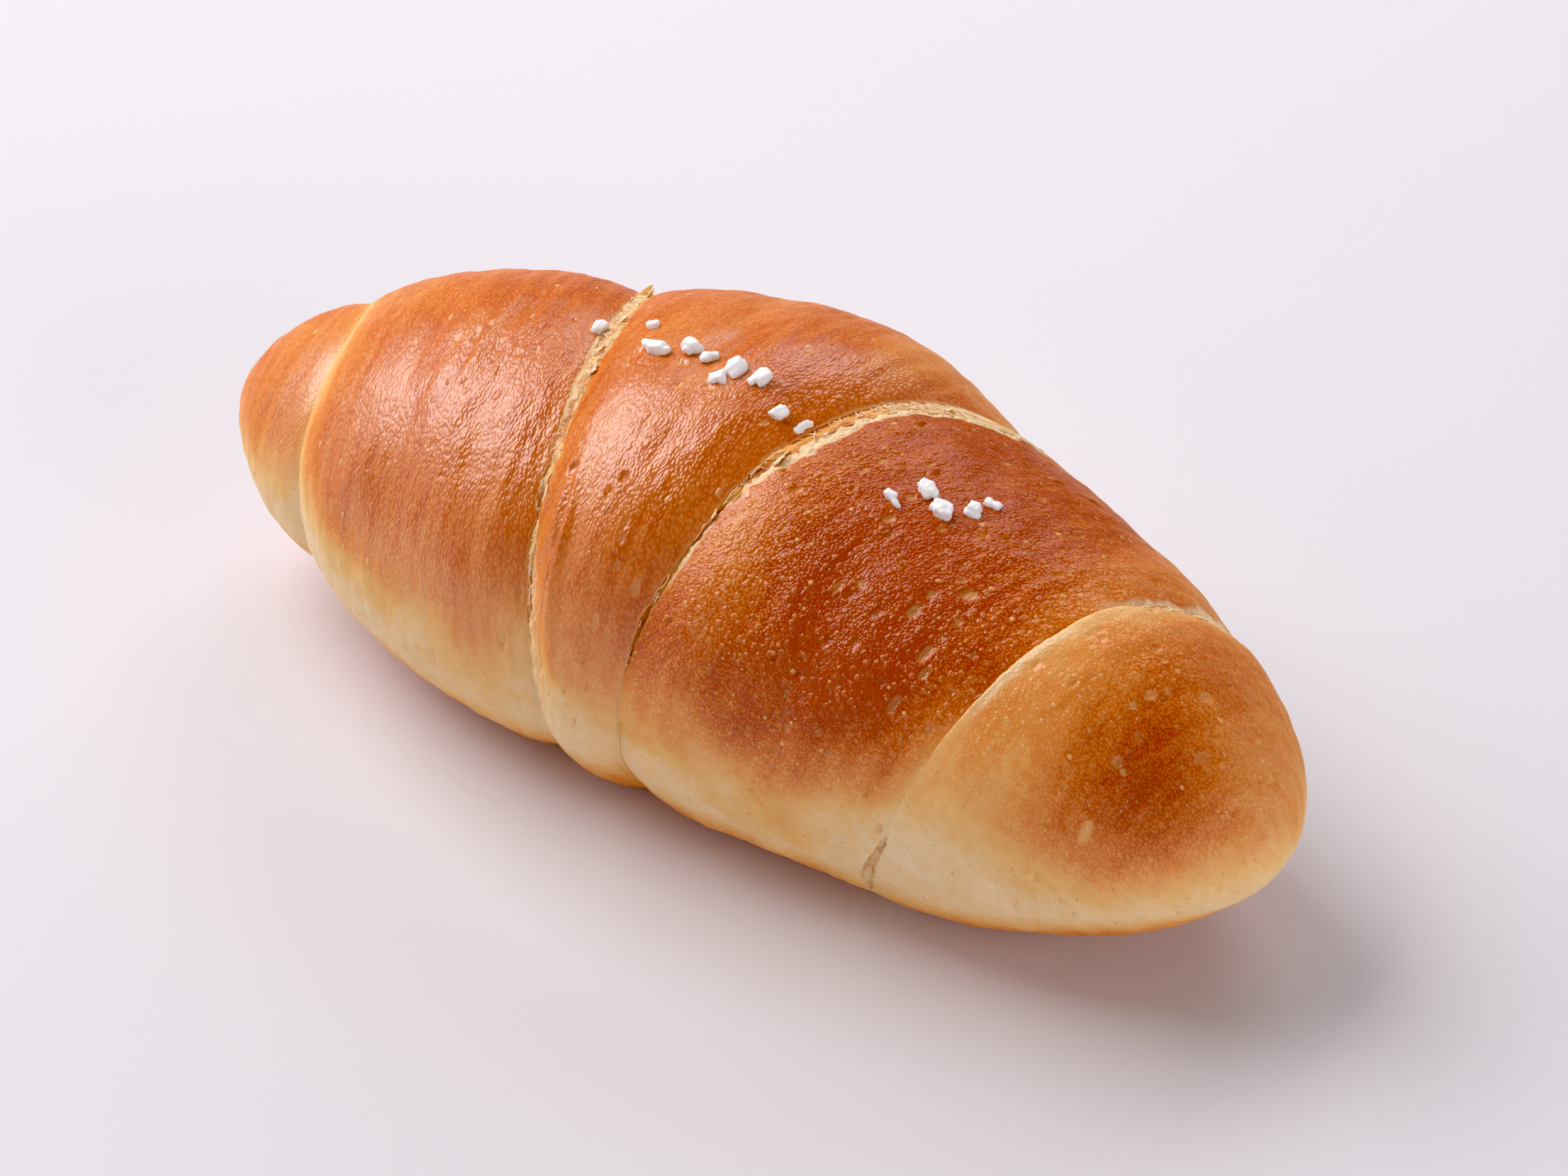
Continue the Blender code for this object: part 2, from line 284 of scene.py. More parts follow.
def border_x(number, angle):
    """x of the border left of a lobe: 0 is the left end, 5 the right end."""
    if number in (0, 5):
        return np.full_like(np.asarray(angle, float), -HALF if number == 0 else HALF)
    return seam_x(number - 1, angle)


def taper(x, reach, powers):
    """1 at the widest place, 0 at the end that is `reach` away from it."""
    return np.clip(1 - (np.abs(x - WIDEST_X) / reach) ** powers[0], 0, 1) ** (1 / powers[1])


def spindle_radius(x):
    """Radius of the plain spindle, without lobes."""
    left = taper(x, HALF + WIDEST_X, LEFT_TAPER)
    right = taper(x, HALF - WIDEST_X, RIGHT_TAPER)
    return GIRTH_RADIUS * np.where(x < WIDEST_X, left, right)


def relief_strength(angle):
    """1 where seams are at full depth, 0 on the sole."""
    return 1 - smooth(np.abs(wrapped(angle)), RELIEF_FULL, RELIEF_NONE)


def flank(distance, width):
    """Quarter-round drop into a seam: 1 at the seam, 0 a flank's width away."""
    s = np.clip(distance / width, 0, 1)
    return 1 - np.sqrt(np.clip(1 - (1 - s) ** 2, 0, 1))


def lift(lobe, part):
    """Spindle radius gained or lost along a lobe."""
    if lobe == 0:
        return SEAM_LIFTS[0] * part * (2 - part)
    if lobe == 4:
        return SEAM_LIFTS[3] * (1 - part ** 2)
    return SEAM_LIFTS[lobe - 1] + (SEAM_LIFTS[lobe] - SEAM_LIFTS[lobe - 1]) * part


def furrows(lobe, part, wide, angle):
    """Depth of the creases at a point of a lobe."""
    turn = wrapped(angle)
    depth = np.zeros_like(part)
    for number, start, end, from_angle, to_angle, deep, breadth in FURROWS:
        if number == lobe:
            along = np.clip((turn - from_angle) / (to_angle - from_angle), 0, 1)
            off = (part - (start + (end - start) * along)) * wide / breadth
            depth = depth + deep * np.sin(math.pi * along) ** 0.8 * np.exp(-off ** 2)
    return depth


def crust_radius(lobe, x, angle):
    """Radius of the crust at a station of a lobe."""
    left, right = border_x(lobe, angle), border_x(lobe + 1, angle)
    wide = right - left
    part = np.clip((x - left) / wide, 0, 1)
    swell = LOBE_CROWNS[lobe] * 4 * part * (1 - part) * np.clip(wide / FULL_CROWN_WIDTH, 0, 1)
    for number in range(4):
        offset = x - seam_x(number, angle)
        drop = np.where(offset < 0, flank(-offset, LEFT_FLANKS[number]),
                        flank(offset, RIGHT_FLANKS[number]))
        swell = swell - SEAM_DEPTHS[number] * drop
    swell = swell - furrows(lobe, part, wide, angle)
    radius = spindle_radius(x) + lift(lobe, part) + relief_strength(angle) * swell
    return np.maximum(radius, 0)


def core_line(x):
    """y and z of the roll's core, before it is centred."""
    droop = np.where(x < 0, LEFT_DROOP, RIGHT_DROOP) * np.abs(x / HALF) ** DROOP_POWER
    return -BEND * (x / HALF) ** 2, CORE_HEIGHT - droop


def core_point(x):
    """The point of the roll's core at x."""
    core_y, core_z = core_line(np.array(x))
    return np.array([x, core_y - MIDDLE_Y, core_z])


def place_on_girth(x, radius, angle):
    """Points for a station, a radius and a girth angle, flattened on the table."""
    c, s = np.cos(np.radians(angle)), np.sin(np.radians(angle))
    power = np.where(c >= 0, CROWN_POWER, BELLY_POWER)
    ratio = np.where(c >= 0, CROWN_RATIO, BELLY_RATIO)
    square = (np.abs(c) ** power + np.abs(s) ** power) ** (-1 / power)
    core_y, core_z = core_line(x)
    y = core_y - radius * s * square
    z = core_z + radius * ratio * c * square
    blend = (z + SOLE_BLEND) ** 2 / (4 * SOLE_BLEND)
    z = np.where(z < -SOLE_BLEND, 0.0, np.where(z > SOLE_BLEND, z, blend))
    return np.stack([x, y - MIDDLE_Y, z], -1)


def find_middle_y():
    """y of the middle of the plain roll, which the CAD puts at 0."""
    angles = np.linspace(-180, 180, 53)
    low, high = [], []
    for lobe in range(5):
        left, right = border_x(lobe, angles), border_x(lobe + 1, angles)
        x = left + np.linspace(0, 1, 41)[:, None] * (right - left)
        points = place_on_girth(x, crust_radius(lobe, x, angles + 0 * x), angles + 0 * x)
        low.append(points[..., 1].min())
        high.append(points[..., 1].max())
    return (min(low) + max(high)) / 2


MIDDLE_Y = 0.0              # while the middle is being found
MIDDLE_Y = find_middle_y()


# ---------------------------------------------------------------- seams
# Rise of the crust left and right of each seam, in mm: one lobe laps over the other
SEAM_STEPS_MM = ((-0.20, 0.25), (0.0, 0.12), (0.10, -0.05), (-0.28, 0.22))
STEP_REACH_MM = (1.6, 1.6, 1.6, 3.4)
TIP_STEP_ENDS = (36, 60)    # girth angles between which the last seam's step fades

# Share of each groove that the stretched dough fills where the seam gapes
OPEN_FILL = (1.0, 0.80, 0.65, 0.60)

# Widths of the gap between which a seam opens: its edges, and the dough that fills its groove
CLOSED_EDGES, CLOSED_FILL = (0.1 * MM, 0.5 * MM), (0.2 * MM, 1.2 * MM)

# At a closed seam each lobe's edge runs a little way under its neighbour
UNDERLAP, UNDERLAP_SUNK = 0.00050, 0.00025

# Ragged edges: length in degrees and height in mm of each size of wave
EDGE_WAVES = ((7.0, 0.20), (2.6, 0.16), (1.1, 0.07))
RAGGED_GAP = 0.9 * MM       # an edge is at its most ragged where the gap is this wide
EDGE_ROOM = 0.05 * MM       # and stays this far from the middle of the seam
HEM_ANGLES = (172, 160)     # no waves where the girth closes, from the first of these angles on

# How closely the columns stand: degrees from the middle of what shows, share of the full number
COLUMN_MIDDLE = 8
COLUMN_DENSITY = ((0, 1), (112, 1), (150, 0.35), (190, 0.3))


def gap_sides(seam, angle):
    """How far the gap of a seam opens to the left and to the right, in metres."""
    angles, left, right = zip(*GAPS_MM[seam])
    turn = wrapped(angle)
    return np.interp(turn, angles, left) * MM, np.interp(turn, angles, right) * MM


def gap(seam, angle):
    """Width of the open gap of a seam, in metres."""
    left, right = gap_sides(seam, angle)
    return left + right


def closed_share(seam, angle):
    """1 where a seam is closed, 0 where it gapes."""
    return 1 - smooth(gap(seam, angle), *CLOSED_EDGES)


def skin_radius(lobe, x, angle):
    """Radius of a lobe's skin: the crust with its closed seams partly filled."""
    radius = crust_radius(lobe, x, angle)
    for number, width in ((lobe - 1, RIGHT_FLANKS[lobe - 1]), (lobe, LEFT_FLANKS[lobe % 4])):
        if 0 <= number <= 3:
            offset = np.abs(x - seam_x(number, angle))
            soft = CREASE_DEPTHS[number] * (1 - np.clip(offset / width, 0, 1)) ** 2
            closed = 1 - smooth(gap(number, angle), *CLOSED_FILL)
            share = OPEN_FILL[number] + (1 - OPEN_FILL[number]) * closed
            fill = SEAM_DEPTHS[number] * np.maximum(flank(offset, width) - soft, 0)
            step = SEAM_STEPS_MM[number][lobe - number] * MM
            step = step * np.exp(-offset / (STEP_REACH_MM[number] * MM))
            if number == 3:
                step = step * (1 - smooth(wrapped(angle), *TIP_STEP_ENDS))
            radius = radius + relief_strength(angle) * (share * fill + step)
    return radius


def edge_x(seam, side, angle):
    """x of the torn edge on one side of a seam (-1 left, +1 right)."""
    turn = wrapped(angle)
    reach = gap_sides(seam, angle)[(side + 1) // 2]
    seed = 40 + seam * 2 + (side > 0)
    wave = 0.0
    for number, (cell, tall) in enumerate(EDGE_WAVES):
        wave = wave + line_noise(turn, cell, seed + 10 * number) * tall
    wave = wave * MM * smooth(gap(seam, angle), 0, RAGGED_GAP)
    wave = np.maximum(wave, EDGE_ROOM - reach) * smooth(np.abs(turn), *HEM_ANGLES)
    return seam_x(seam, angle) + side * (reach + wave)


def girth_angles(count):
    """Columns round the girth, closer together where the crust shows."""
    fine = np.linspace(-180, 180, 1441)
    middle = (fine[1:] + fine[:-1]) / 2
    weight = np.interp(np.abs(middle - COLUMN_MIDDLE), *zip(*COLUMN_DENSITY))
    total = np.concatenate([[0], np.cumsum(weight)])
    return np.interp(np.arange(count) / count * total[-1], total, fine)


def row_parts(lobe, rows):
    """Where a lobe's rows lie across it, closer together by the seams and the tips."""
    even = np.linspace(0, 1, rows)
    if lobe == 0:
        return 1 - np.cos(math.pi / 2 * (np.arange(rows) + 1) / rows)
    if lobe == 4:
        rising = np.sin(math.pi / 2 * np.arange(rows) / rows)
        return rising * 0.75 + (np.arange(rows) / rows) ** 2 * 0.25 * rising[-1]
    return 0.45 * even + 0.55 * (1 - np.cos(math.pi * even)) / 2


def lobe_grid(lobe):
    """The lobe's skin before its relief: x, girth angles, part of the way across, points, and
    the distances from its two edges."""
    angles = girth_angles(LOBE_COLUMNS[lobe])
    left = border_x(0, angles) if lobe == 0 else edge_x(lobe - 1, 1, angles)
    right = border_x(5, angles) if lobe == 4 else edge_x(lobe, -1, angles)
    under_left = 0.0 if lobe == 0 else UNDERLAP * closed_share(lobe - 1, angles)
    under_right = 0.0 if lobe == 4 else UNDERLAP * closed_share(lobe, angles)
    part = row_parts(lobe, LOBE_ROWS[lobe])[:, None]
    x = (left - under_left) + part * (right - left + under_left + under_right)
    angle = angles + 0 * x
    from_left, from_right = x - left, right - x
    sunk = UNDERLAP_SUNK * (np.clip(-from_left / UNDERLAP, 0, 1) ** 2
                            + np.clip(-from_right / UNDERLAP, 0, 1) ** 2)
    points = place_on_girth(x, skin_radius(lobe, x, angle) - sunk, angle)
    return x, angle, part + 0 * x, points, np.maximum(from_left, 0), np.maximum(from_right, 0)


def grid_normals(points):
    """Outward unit normals of a grid of points, rows along X and columns round the girth."""
    along = np.gradient(points, axis=0)
    around = (np.roll(points, -1, 1) - np.roll(points, 1, 1)) / 2
    normal = np.cross(around, along)
    return -normal / np.maximum(np.linalg.norm(normal, axis=-1, keepdims=True), 1e-12)


# ---------------------------------------------------------------- blisters
# Blisters that stand out: lobe, x in mm, girth angle, half width, half length and height in mm,
# paleness
MARKS = (
    (3, 21.4, 15.5, 0.55, 0.60, 0.24, 0.70), (3, 21.9, 7.0, 0.45, 0.50, 0.20, 0.75),
    (3, 26.6, 10.5, 0.60, 0.40, 0.16, 0.50), (3, 27.0, -1.0, 0.50, 0.40, 0.18, 0.60),
    (2, -8.9, 3.6, 0.85, 0.60, 0.20, 0.75), (2, -3.9, 7.6, 0.70, 0.45, 0.14, 0.60),
    (2, -7.2, 10.0, 0.32, 0.60, 0.20, 0.85), (2, 3.6, 9.0, 0.40, 0.40, 0.14, 0.60),
    (3, 22.5, 33, 0.42, 0.50, 0.22, 0.80),
    (3, 20.5, 36, 0.38, 0.75, 0.16, 0.55), (3, 29.3, 33, 0.55, 0.95, 0.26, 0.85),
    (3, 33.5, 22, 0.42, 0.75, 0.22, 0.95), (3, 31.7, 20, 0.30, 0.45, 0.18, 0.80),
    (3, 29.7, 27, 0.34, 0.60, 0.18, 0.80), (3, 33.9, 30, 0.34, 0.50, 0.20, 0.90),
    (3, 32.3, 41, 0.48, 1.20, 0.26, 0.65), (3, 33.1, 46, 0.42, 0.85, 0.22, 0.60),
    (3, 31.3, 56, 0.50, 1.30, 0.18, 0.40), (3, 19.5, 65, 0.30, 0.60, 0.20, 0.80),
    (3, 20.1, 70, 0.28, 0.65, 0.20, 0.70), (3, 24.5, 71, 0.34, 0.60, 0.22, 0.80),
    (3, 25.9, 76, 0.30, 0.55, 0.20, 0.85), (3, 19.7, 81, 0.30, 0.50, 0.20, 0.80),
    (3, 10.7, 67, 0.26, 0.50, 0.18, 0.75), (3, 16.9, 2, 0.30, 0.60, 0.14, 0.95),
    (3, 15.9, 7, 0.28, 0.70, 0.14, 0.80), (3, 21.0, -5, 0.26, 0.55, 0.14, 0.90),
    (3, 26.3, -23, 0.40, 0.90, 0.12, 0.60), (3, 32.1, -18, 0.36, 0.90, 0.14, 0.55),
    (4, 54.2, 17, 0.48, 0.72, 0.24, 0.95), (4, 55.4, 12, 0.34, 0.45, 0.18, 0.75),
    (4, 58.4, 2, 0.50, 0.95, 0.18, 0.65), (4, 53.4, 24, 0.32, 0.62, 0.18, 0.85),
    (4, 55.4, 32, 0.50, 0.50, 0.22, 0.35), (4, 54.6, 43, 0.60, 0.75, 0.24, 0.55),
    (4, 55.5, 45, 0.34, 0.36, 0.18, 0.95), (4, 53.8, 70, 0.60, 1.60, 0.08, 0.90),
    (4, 51.0, 97, 0.75, 0.75, 0.06, 0.95), (4, 48.6, 24, 0.26, 0.30, 0.16, 0.85),
    (4, 50.6, 21, 0.24, 0.24, 0.14, 0.80), (4, 50.8, 25, 0.20, 0.24, 0.14, 0.70),
    (4, 47.2, 12, 0.36, 0.70, 0.14, 0.80), (4, 45.9, 13, 0.30, 0.50, 0.12, 0.60),
    (4, 53.2, 4, 0.28, 0.50, 0.14, 0.85), (4, 61.6, 23, 0.60, 0.75, 0.12, 0.20),
    (1, -16.0, 85, 0.50, 1.60, 0.20, 0.45), (1, -14.6, 70, 0.38, 1.00, 0.18, 0.55),
    (2, -6.9, 90, 0.30, 0.60, 0.20, 0.80), (2, -4.1, 86, 0.28, 0.70, 0.18, 0.60),
    (2, -5.9, 99, 0.28, 0.70, 0.18, 0.70), (2, -4.3, 78, 0.22, 0.45, 0.16, 0.60),
    (2, -6.1, 34, 0.60, 0.70, 0.26, 0.15), (2, -12.6, 36, 0.62, 1.00, 0.36, 0.05),
)

# Scattered blisters of each lobe: count, half width in mm, stretch along the wrap, height in mm,
# paleness
SCATTERED = (
    (8, 0.36, 1.9, 0.09, 0.30), (26, 0.38, 2.1, 0.12, 0.30), (24, 0.38, 2.0, 0.12, 0.30),
    (60, 0.40, 1.5, 0.20, 0.35), (30, 0.40, 1.3, 0.18, 0.35),
)
FULL_HEIGHT_MM = 0.28       # a blister of this height gets the height that the panel sets


def blister_list(lobe):
    """Blisters of a lobe: place across it, girth angle, half width and length, height, paleness."""
    rng = np.random.default_rng(300 + lobe)
    count, half, longer, tall, pale = SCATTERED[lobe]
    rows = []
    for _ in range(count):
        size = half * math.exp(rng.normal(0, 0.16))
        rows.append((rng.uniform(0.03, 0.97), rng.triangular(-125, 30, 125), size,
                     size * longer * math.exp(rng.normal(0, 0.2)),
                     tall * rng.uniform(0.7, 1.2), pale * rng.uniform(0.0, 1.6)))
    return rows


def blister_relief(lobe, x, angle, part, flow, length):
    """Relief in metres and paleness of the lobe's blisters."""
    relief, tint = np.zeros_like(x), np.zeros_like(x)
    left, right = x[0], x[-1]
    found = blister_list(lobe)
    for number, at, turn, wide, long, tall, pale in MARKS:
        if number == lobe:
            column = int(np.argmin(np.abs(angle[0] - turn)))
            place = (at * MM - left[column]) / (right[column] - left[column])
            found.append((np.clip(place, 0.01, 0.99), turn, wide, long, tall, pale))
    for place, turn, wide, long, tall, pale in found:
        row = int(np.argmin(np.abs(part[:, 0] - place)))
        column = int(np.argmin(np.abs(angle[0] - turn)))
        u, v = flow[row, column], length[row, column]
        near_rows = np.flatnonzero(np.abs(flow[:, column] - u) < wide * 2.6)
        near_columns = np.flatnonzero(np.abs(length[row] - v) < long * 1.6 + 0.4)
        window = (slice(near_rows[0], near_rows[-1] + 1),
                  slice(near_columns[0], near_columns[-1] + 1))
        q = np.sqrt(((flow[window] - u) / wide) ** 2 + ((length[window] - v) / long) ** 2)
        dome = np.sqrt(np.clip(1 - q ** 2, 0, 1))
        relief[window] = np.maximum(relief[window], dome * tall * MM)
        tint[window] = np.maximum(tint[window], pale * smooth(q, 1.12, 0.75))
    return relief, tint


# ---------------------------------------------------------------- folds, bake and torn edges
# Folds, wrinkles and scratches: lobe, points as (x in mm, girth angle), height and half width in
# mm, paleness
STROKES = (
    (2, ((-12.4, 36), (-11.6, 43), (-11.0, 51), (-10.7, 60), (-10.6, 72)), 0.42, 0.34, 0.30),
    (2, ((-11.5, 37), (-10.6, 45), (-9.9, 54), (-9.7, 66), (-9.5, 78)), -0.26, 0.50, -0.30),
    (2, ((-10.7, 66), (-10.5, 76), (-10.2, 88), (-9.9, 97)), 0.16, 0.26, 0.45),
    (2, ((-12.0, 58), (-11.9, 70), (-11.4, 84), (-10.9, 95)), 0.14, 0.28, 0.30),
    (2, ((-12.9, 36), (-12.2, 46), (-11.8, 56)), -0.16, 0.30, -0.35),
    (1, ((-36.5, 0), (-34.1, 7), (-32.6, 15), (-32.3, 25), (-31.8, 34)), -0.16, 0.60, -0.10),
    (1, ((-31.5, 4), (-29.5, 12), (-29.3, 22), (-29.7, 37)), -0.14, 0.55, -0.10),
    (1, ((-39.0, 6), (-37.0, 14), (-36.2, 26)), -0.10, 0.60, 0.0),
    (1, ((-28.0, 10), (-26.6, 20), (-26.4, 33)), -0.10, 0.50, 0.0),
    (1, ((-30.9, 26), (-29.9, 33)), -0.10, 0.16, 0.35),
    (1, ((-24.0, 62), (-22.6, 76), (-22.4, 92)), -0.08, 0.55, -0.25),
    (1, ((-28.5, 66), (-27.4, 80), (-27.4, 95)), -0.08, 0.45, -0.20),
    (3, ((24.0, -42), (28.5, -20), (31.0, -4)), -0.14, 0.90, 0.0),
    (3, ((12.0, 24), (15.0, 36), (18.0, 50)), -0.10, 0.90, 0.0),
)

# Sunken blisters with a raised rim: lobe, x in mm, girth angle, half width and length in mm
RINGS = ((3, 8.3, 58, 0.70, 1.45), (1, -16.0, 85, 0.32, 1.10))
RIM = (0.12, 0.17, 0.45)    # the rim's height and half width in mm, and its paleness


def oval(at, turn, wide, long):
    """Points of an oval line round a spot of the crust."""
    turns = [k * math.tau / 12 for k in range(13)]
    return [(at + wide * math.cos(t), turn + long * math.sin(t) / DEGREE_MM) for t in turns]


def distance_to_line(line, u, v):
    """Distance of each place (u, v) from a line of points, and the share along it, 0 to 1."""
    nearest, along = np.full_like(u, 99.0), np.zeros_like(u)
    for k, ((a0, b0), (a1, b1)) in enumerate(zip(line, line[1:])):
        t = ((u - a0) * (a1 - a0) + (v - b0) * (b1 - b0)) / ((a1 - a0) ** 2 + (b1 - b0) ** 2)
        t = np.clip(t, 0, 1)
        off = np.hypot(u - a0 - t * (a1 - a0), v - b0 - t * (b1 - b0))
        along = np.where(off < nearest, (k + t) / (len(line) - 1), along)
        nearest = np.minimum(nearest, off)
    return nearest, along


def stroke_relief(lobe, x, angle):
    """Relief in metres and paleness of the lobe's folds, wrinkles and scratches."""
    relief, tint = np.zeros_like(x), np.zeros_like(x)
    u, v = x / MM, np.radians(wrapped(angle)) * GIRTH_RADIUS / MM
    rings = tuple((number, oval(*place), *RIM) for number, *place in RINGS)
    for number, points, tall, wide, pale in STROKES + rings:
        if number == lobe:
            line = [(at, math.radians(turn) * GIRTH_RADIUS / MM) for at, turn in points]
            nearest, along = distance_to_line(line, u, v)
            closed = points[0] == points[-1]
            ends = 1.0 if closed else np.sin(math.pi * np.clip(along, 0, 1)) ** 0.5
            shape = np.exp(-(nearest / wide) ** 2) * ends
            relief += shape * tall * MM
            tint += shape * pale
    return relief, tint


# Browner and paler patches of the crowns: x in mm, girth angle, half sizes in mm and degrees,
# extra tone. Two of them paint light, as marked below.
BAKE_SHADE_AND_SHEEN_PATCHES = (
    (27, 46, 9, 30, 0.10), (20, 28, 7, 20, 0.09), (57, 44, 7, 26, 0.22), (62, 46, 4, 22, 0.08),
    (46, 42, 5, 34, -0.10), (43, 64, 5, 24, -0.12), (14, 8, 6, 14, -0.06), (-1, 58, 4, 22, 0.02),
    (-22, 58, 6, 22, -0.04), (36, 64, 4, 16, -0.16), (10, 96, 8, 20, -0.05),
    # the first patch below is paler partly as painted sheen, where the key light glances off the
    # right lobe's left shoulder
    (8, 36, 5, 18, -0.20), (9, -34, 6, 16, -0.22), (-26, -22, 6, 14, 0.06),
    # painted shade: browner beside the valley of the last seam
    (36, 76, 3, 14, 0.14),
)

BAKE_FADES = (34, 30, 24)           # degrees over which the brown fades: back, front, front
SOLE_ANGLES = (110, 132)            # girth angles between which the browner sole begins
SIDE_TONE, SOLE_TONE = 0.10, 0.40   # tone of the pale sides, and what the sole adds to it
END_FROM, END_TO = 0.054, 0.066     # distances from the middle between which an end begins
END_FADE = (-7 * MM, 7 * MM)        # heights above the core between which an end turns brown
END_SOLE = (5 * MM, 10 * MM)        # depths below it between which its sole begins


def bake_tone(x, angle, points):
    """How brown the crust is, 0 cream to 1 dark, with painted sheen and shade in two patches."""
    turn = wrapped(angle)
    along = x / MM
    stations, peaks, backs, fronts = (np.array(c, float) for c in zip(*BAKE_STATIONS))
    peak = np.interp(along, stations, peaks)
    back = np.interp(along, stations, backs)
    front = np.interp(along, stations, fronts)
    # patches of tone, two of them painted sheen and painted shade
    for at, middle, half, spread, extra in BAKE_SHADE_AND_SHEEN_PATCHES:
        peak = peak + extra * np.exp(-((along - at) / half) ** 2 - ((turn - middle) / spread) ** 2)
    drift = lattice_noise(points, 0.007, 71) * 7 + lattice_noise(points, 0.0028, 72) * 2.5
    behind, before, beyond = BAKE_FADES
    window = smooth(turn + drift, back - behind, back + behind)
    window = window * (1 - smooth(turn + drift, front - before, front + beyond))
    sole = smooth(np.abs(turn), *SOLE_ANGLES)
    # round the two ends the tone follows the height, as the girth angle has no sense at a pole
    above = points[..., 2] - core_line(x)[1] + drift * 0.2 * MM
    end = smooth(np.abs(x), END_FROM, END_TO)
    window = window + (smooth(above, *END_FADE) - window) * end
    sole = sole + (smooth(-above, *END_SOLE) - sole) * end
    low = SIDE_TONE + SOLE_TONE * sole
    return low + (peak - low) * window


LIP_GAP = (0.12 * MM, 0.8 * MM)     # a lip grows as the gap opens from the first to the second
LIP_WIDTH = 0.26 * MM
CREAM_WIDTH = 0.34 * MM             # reach of the cream tint along a lip
CREAM_LEAST, CREAM_FULL = 0.16 * MM, 0.10 * MM


def torn_edges(lobe, angle, from_left, from_right, fine):
    """Relief and cream tint of the thin lips where the crust tore at its seams."""
    relief, cream = np.zeros_like(angle), np.zeros_like(angle)
    for seam, distance in ((lobe - 1, from_left), (lobe, from_right)):
        if 0 <= seam <= 3:
            opening = smooth(gap(seam, angle), *LIP_GAP)
            ragged = 0.75 + 0.5 * fine
            lip = np.exp(-(distance / (LIP_WIDTH * ragged)) ** 2)
            relief += settings().lip_height * lip * opening * ragged
            reach = np.maximum(CREAM_WIDTH * ragged, CREAM_LEAST)
            cream = np.maximum(cream, smooth(distance, reach, CREAM_FULL) * opening)
    return relief, cream


def torn_crumb(lobe, angle, from_left, from_right):
    """Where crumb shows along the edges of a lobe, 0 to 1. Each line fades it out between two
    distances from the edge and between two girth angles at either end."""
    turn = wrapped(angle)
    breadth = (1.9 + 0.5 * line_noise(turn, 6, 91) + 0.2 * line_noise(turn, 2, 92)) * MM
    if lobe == 3:   # a wide band right of the third seam, a thin one below it, one at the far edge
        torn = smooth(from_left, breadth, breadth * 0.65) * (1 - smooth(turn, 20, 32))
        narrow = smooth(from_left, breadth * 0.4, breadth * 0.2) * (1 - smooth(turn, 44, 56))
        far = smooth(from_right, breadth * 0.75, breadth * 0.35) * (1 - smooth(turn, -8, 8))
        torn = np.maximum(torn, narrow) * smooth(turn, -62, -48)
        return np.maximum(torn, far * 0.85 * smooth(turn, -84, -66))
    if lobe == 4:
        torn = smooth(from_left, breadth * 0.5, breadth * 0.2)
        return torn * 0.6 * smooth(turn, 6, 22) * (1 - smooth(turn, 40, 56))
    if lobe == 2:
        torn = smooth(from_left, breadth * 0.8, breadth * 0.2)
        return torn * 0.6 * smooth(turn, 56, 66) * (1 - smooth(turn, 100, 120))
    return np.zeros_like(angle)


# ---------------------------------------------------------------- skin of the lobes
# Stretch of the blisters and pores along the wrap, and how thickly they cover each lobe
WRAP_STRETCH = (1.8, 2.0, 1.9, 1.10, 1.0)
SPOT_COVER = (0.60, 0.66, 0.66, 1.0, 0.9)

MEDIUM_WAVES = (0.30, 0.30, 0.30, 0.65, 0.30)   # shares of the unevenness, most on the right lobe
SOLE_FADE = (140, 165)      # girth angles between which the relief fades towards the sole

# How much paler the crust gets at each seam, and how far from it that reaches
SEAM_PALENESS = (0.55, 0.12, 0.08, 0.50)
SEAM_PALE_MM = (1.4, 1.0, 1.0, 2.6)
TIP_PALE_ANGLES = (44, 76)  # left of the last seam the paleness starts between these angles

BOX_MARGIN = 0.00001        # the finish stays this far inside the box of the CAD


def wrap_length(angle, points):
    """Distance round the girth from the crest, in mm."""
    step = np.linalg.norm(np.roll(points, -1, 1) - points, axis=-1)
    length = np.cumsum(step, 1) - step
    crest = np.argmin(np.abs(angle[0]))
    return (length - length[:, crest:crest + 1]) / MM


def with_waves(lobe, relief, points, flow, length):
    """The relief with the crust's waves added, from broad ones to fine streaks round the girth."""
    wrap = flat(flow * 1.4, length / WRAP_STRETCH[lobe]) * MM
    streaky = flat(flow, length * 0.11) * MM
    # where, length of the wave, seed, height as a share of the unevenness
    waves = (
        (points, 0.011, 11, 0.8), (points, 0.0045, 12, MEDIUM_WAVES[lobe]),
        (wrap, 0.0015, 13 + lobe, 0.20), (streaky, 0.0016, 31 + lobe, 0.16),
        (streaky, 0.0007, 41 + lobe, 0.06),
    )
    for place, cell, seed, share in waves:
        relief = relief + lattice_noise(place, cell, seed) * settings().unevenness * share
    return relief


def paler_by_seams(lobe, bake, angle, from_left, from_right):
    """The tone with the paler dough beside the lobe's seams."""
    for seam, distance in ((lobe - 1, from_left), (lobe, from_right)):
        if 0 <= seam <= 3:
            near = np.exp(-distance / (SEAM_PALE_MM[seam] * MM))
            if seam == 3 and lobe == 3:
                near = near * smooth(wrapped(angle), *TIP_PALE_ANGLES)
            bake = bake - SEAM_PALENESS[seam] * near * bake
    return bake


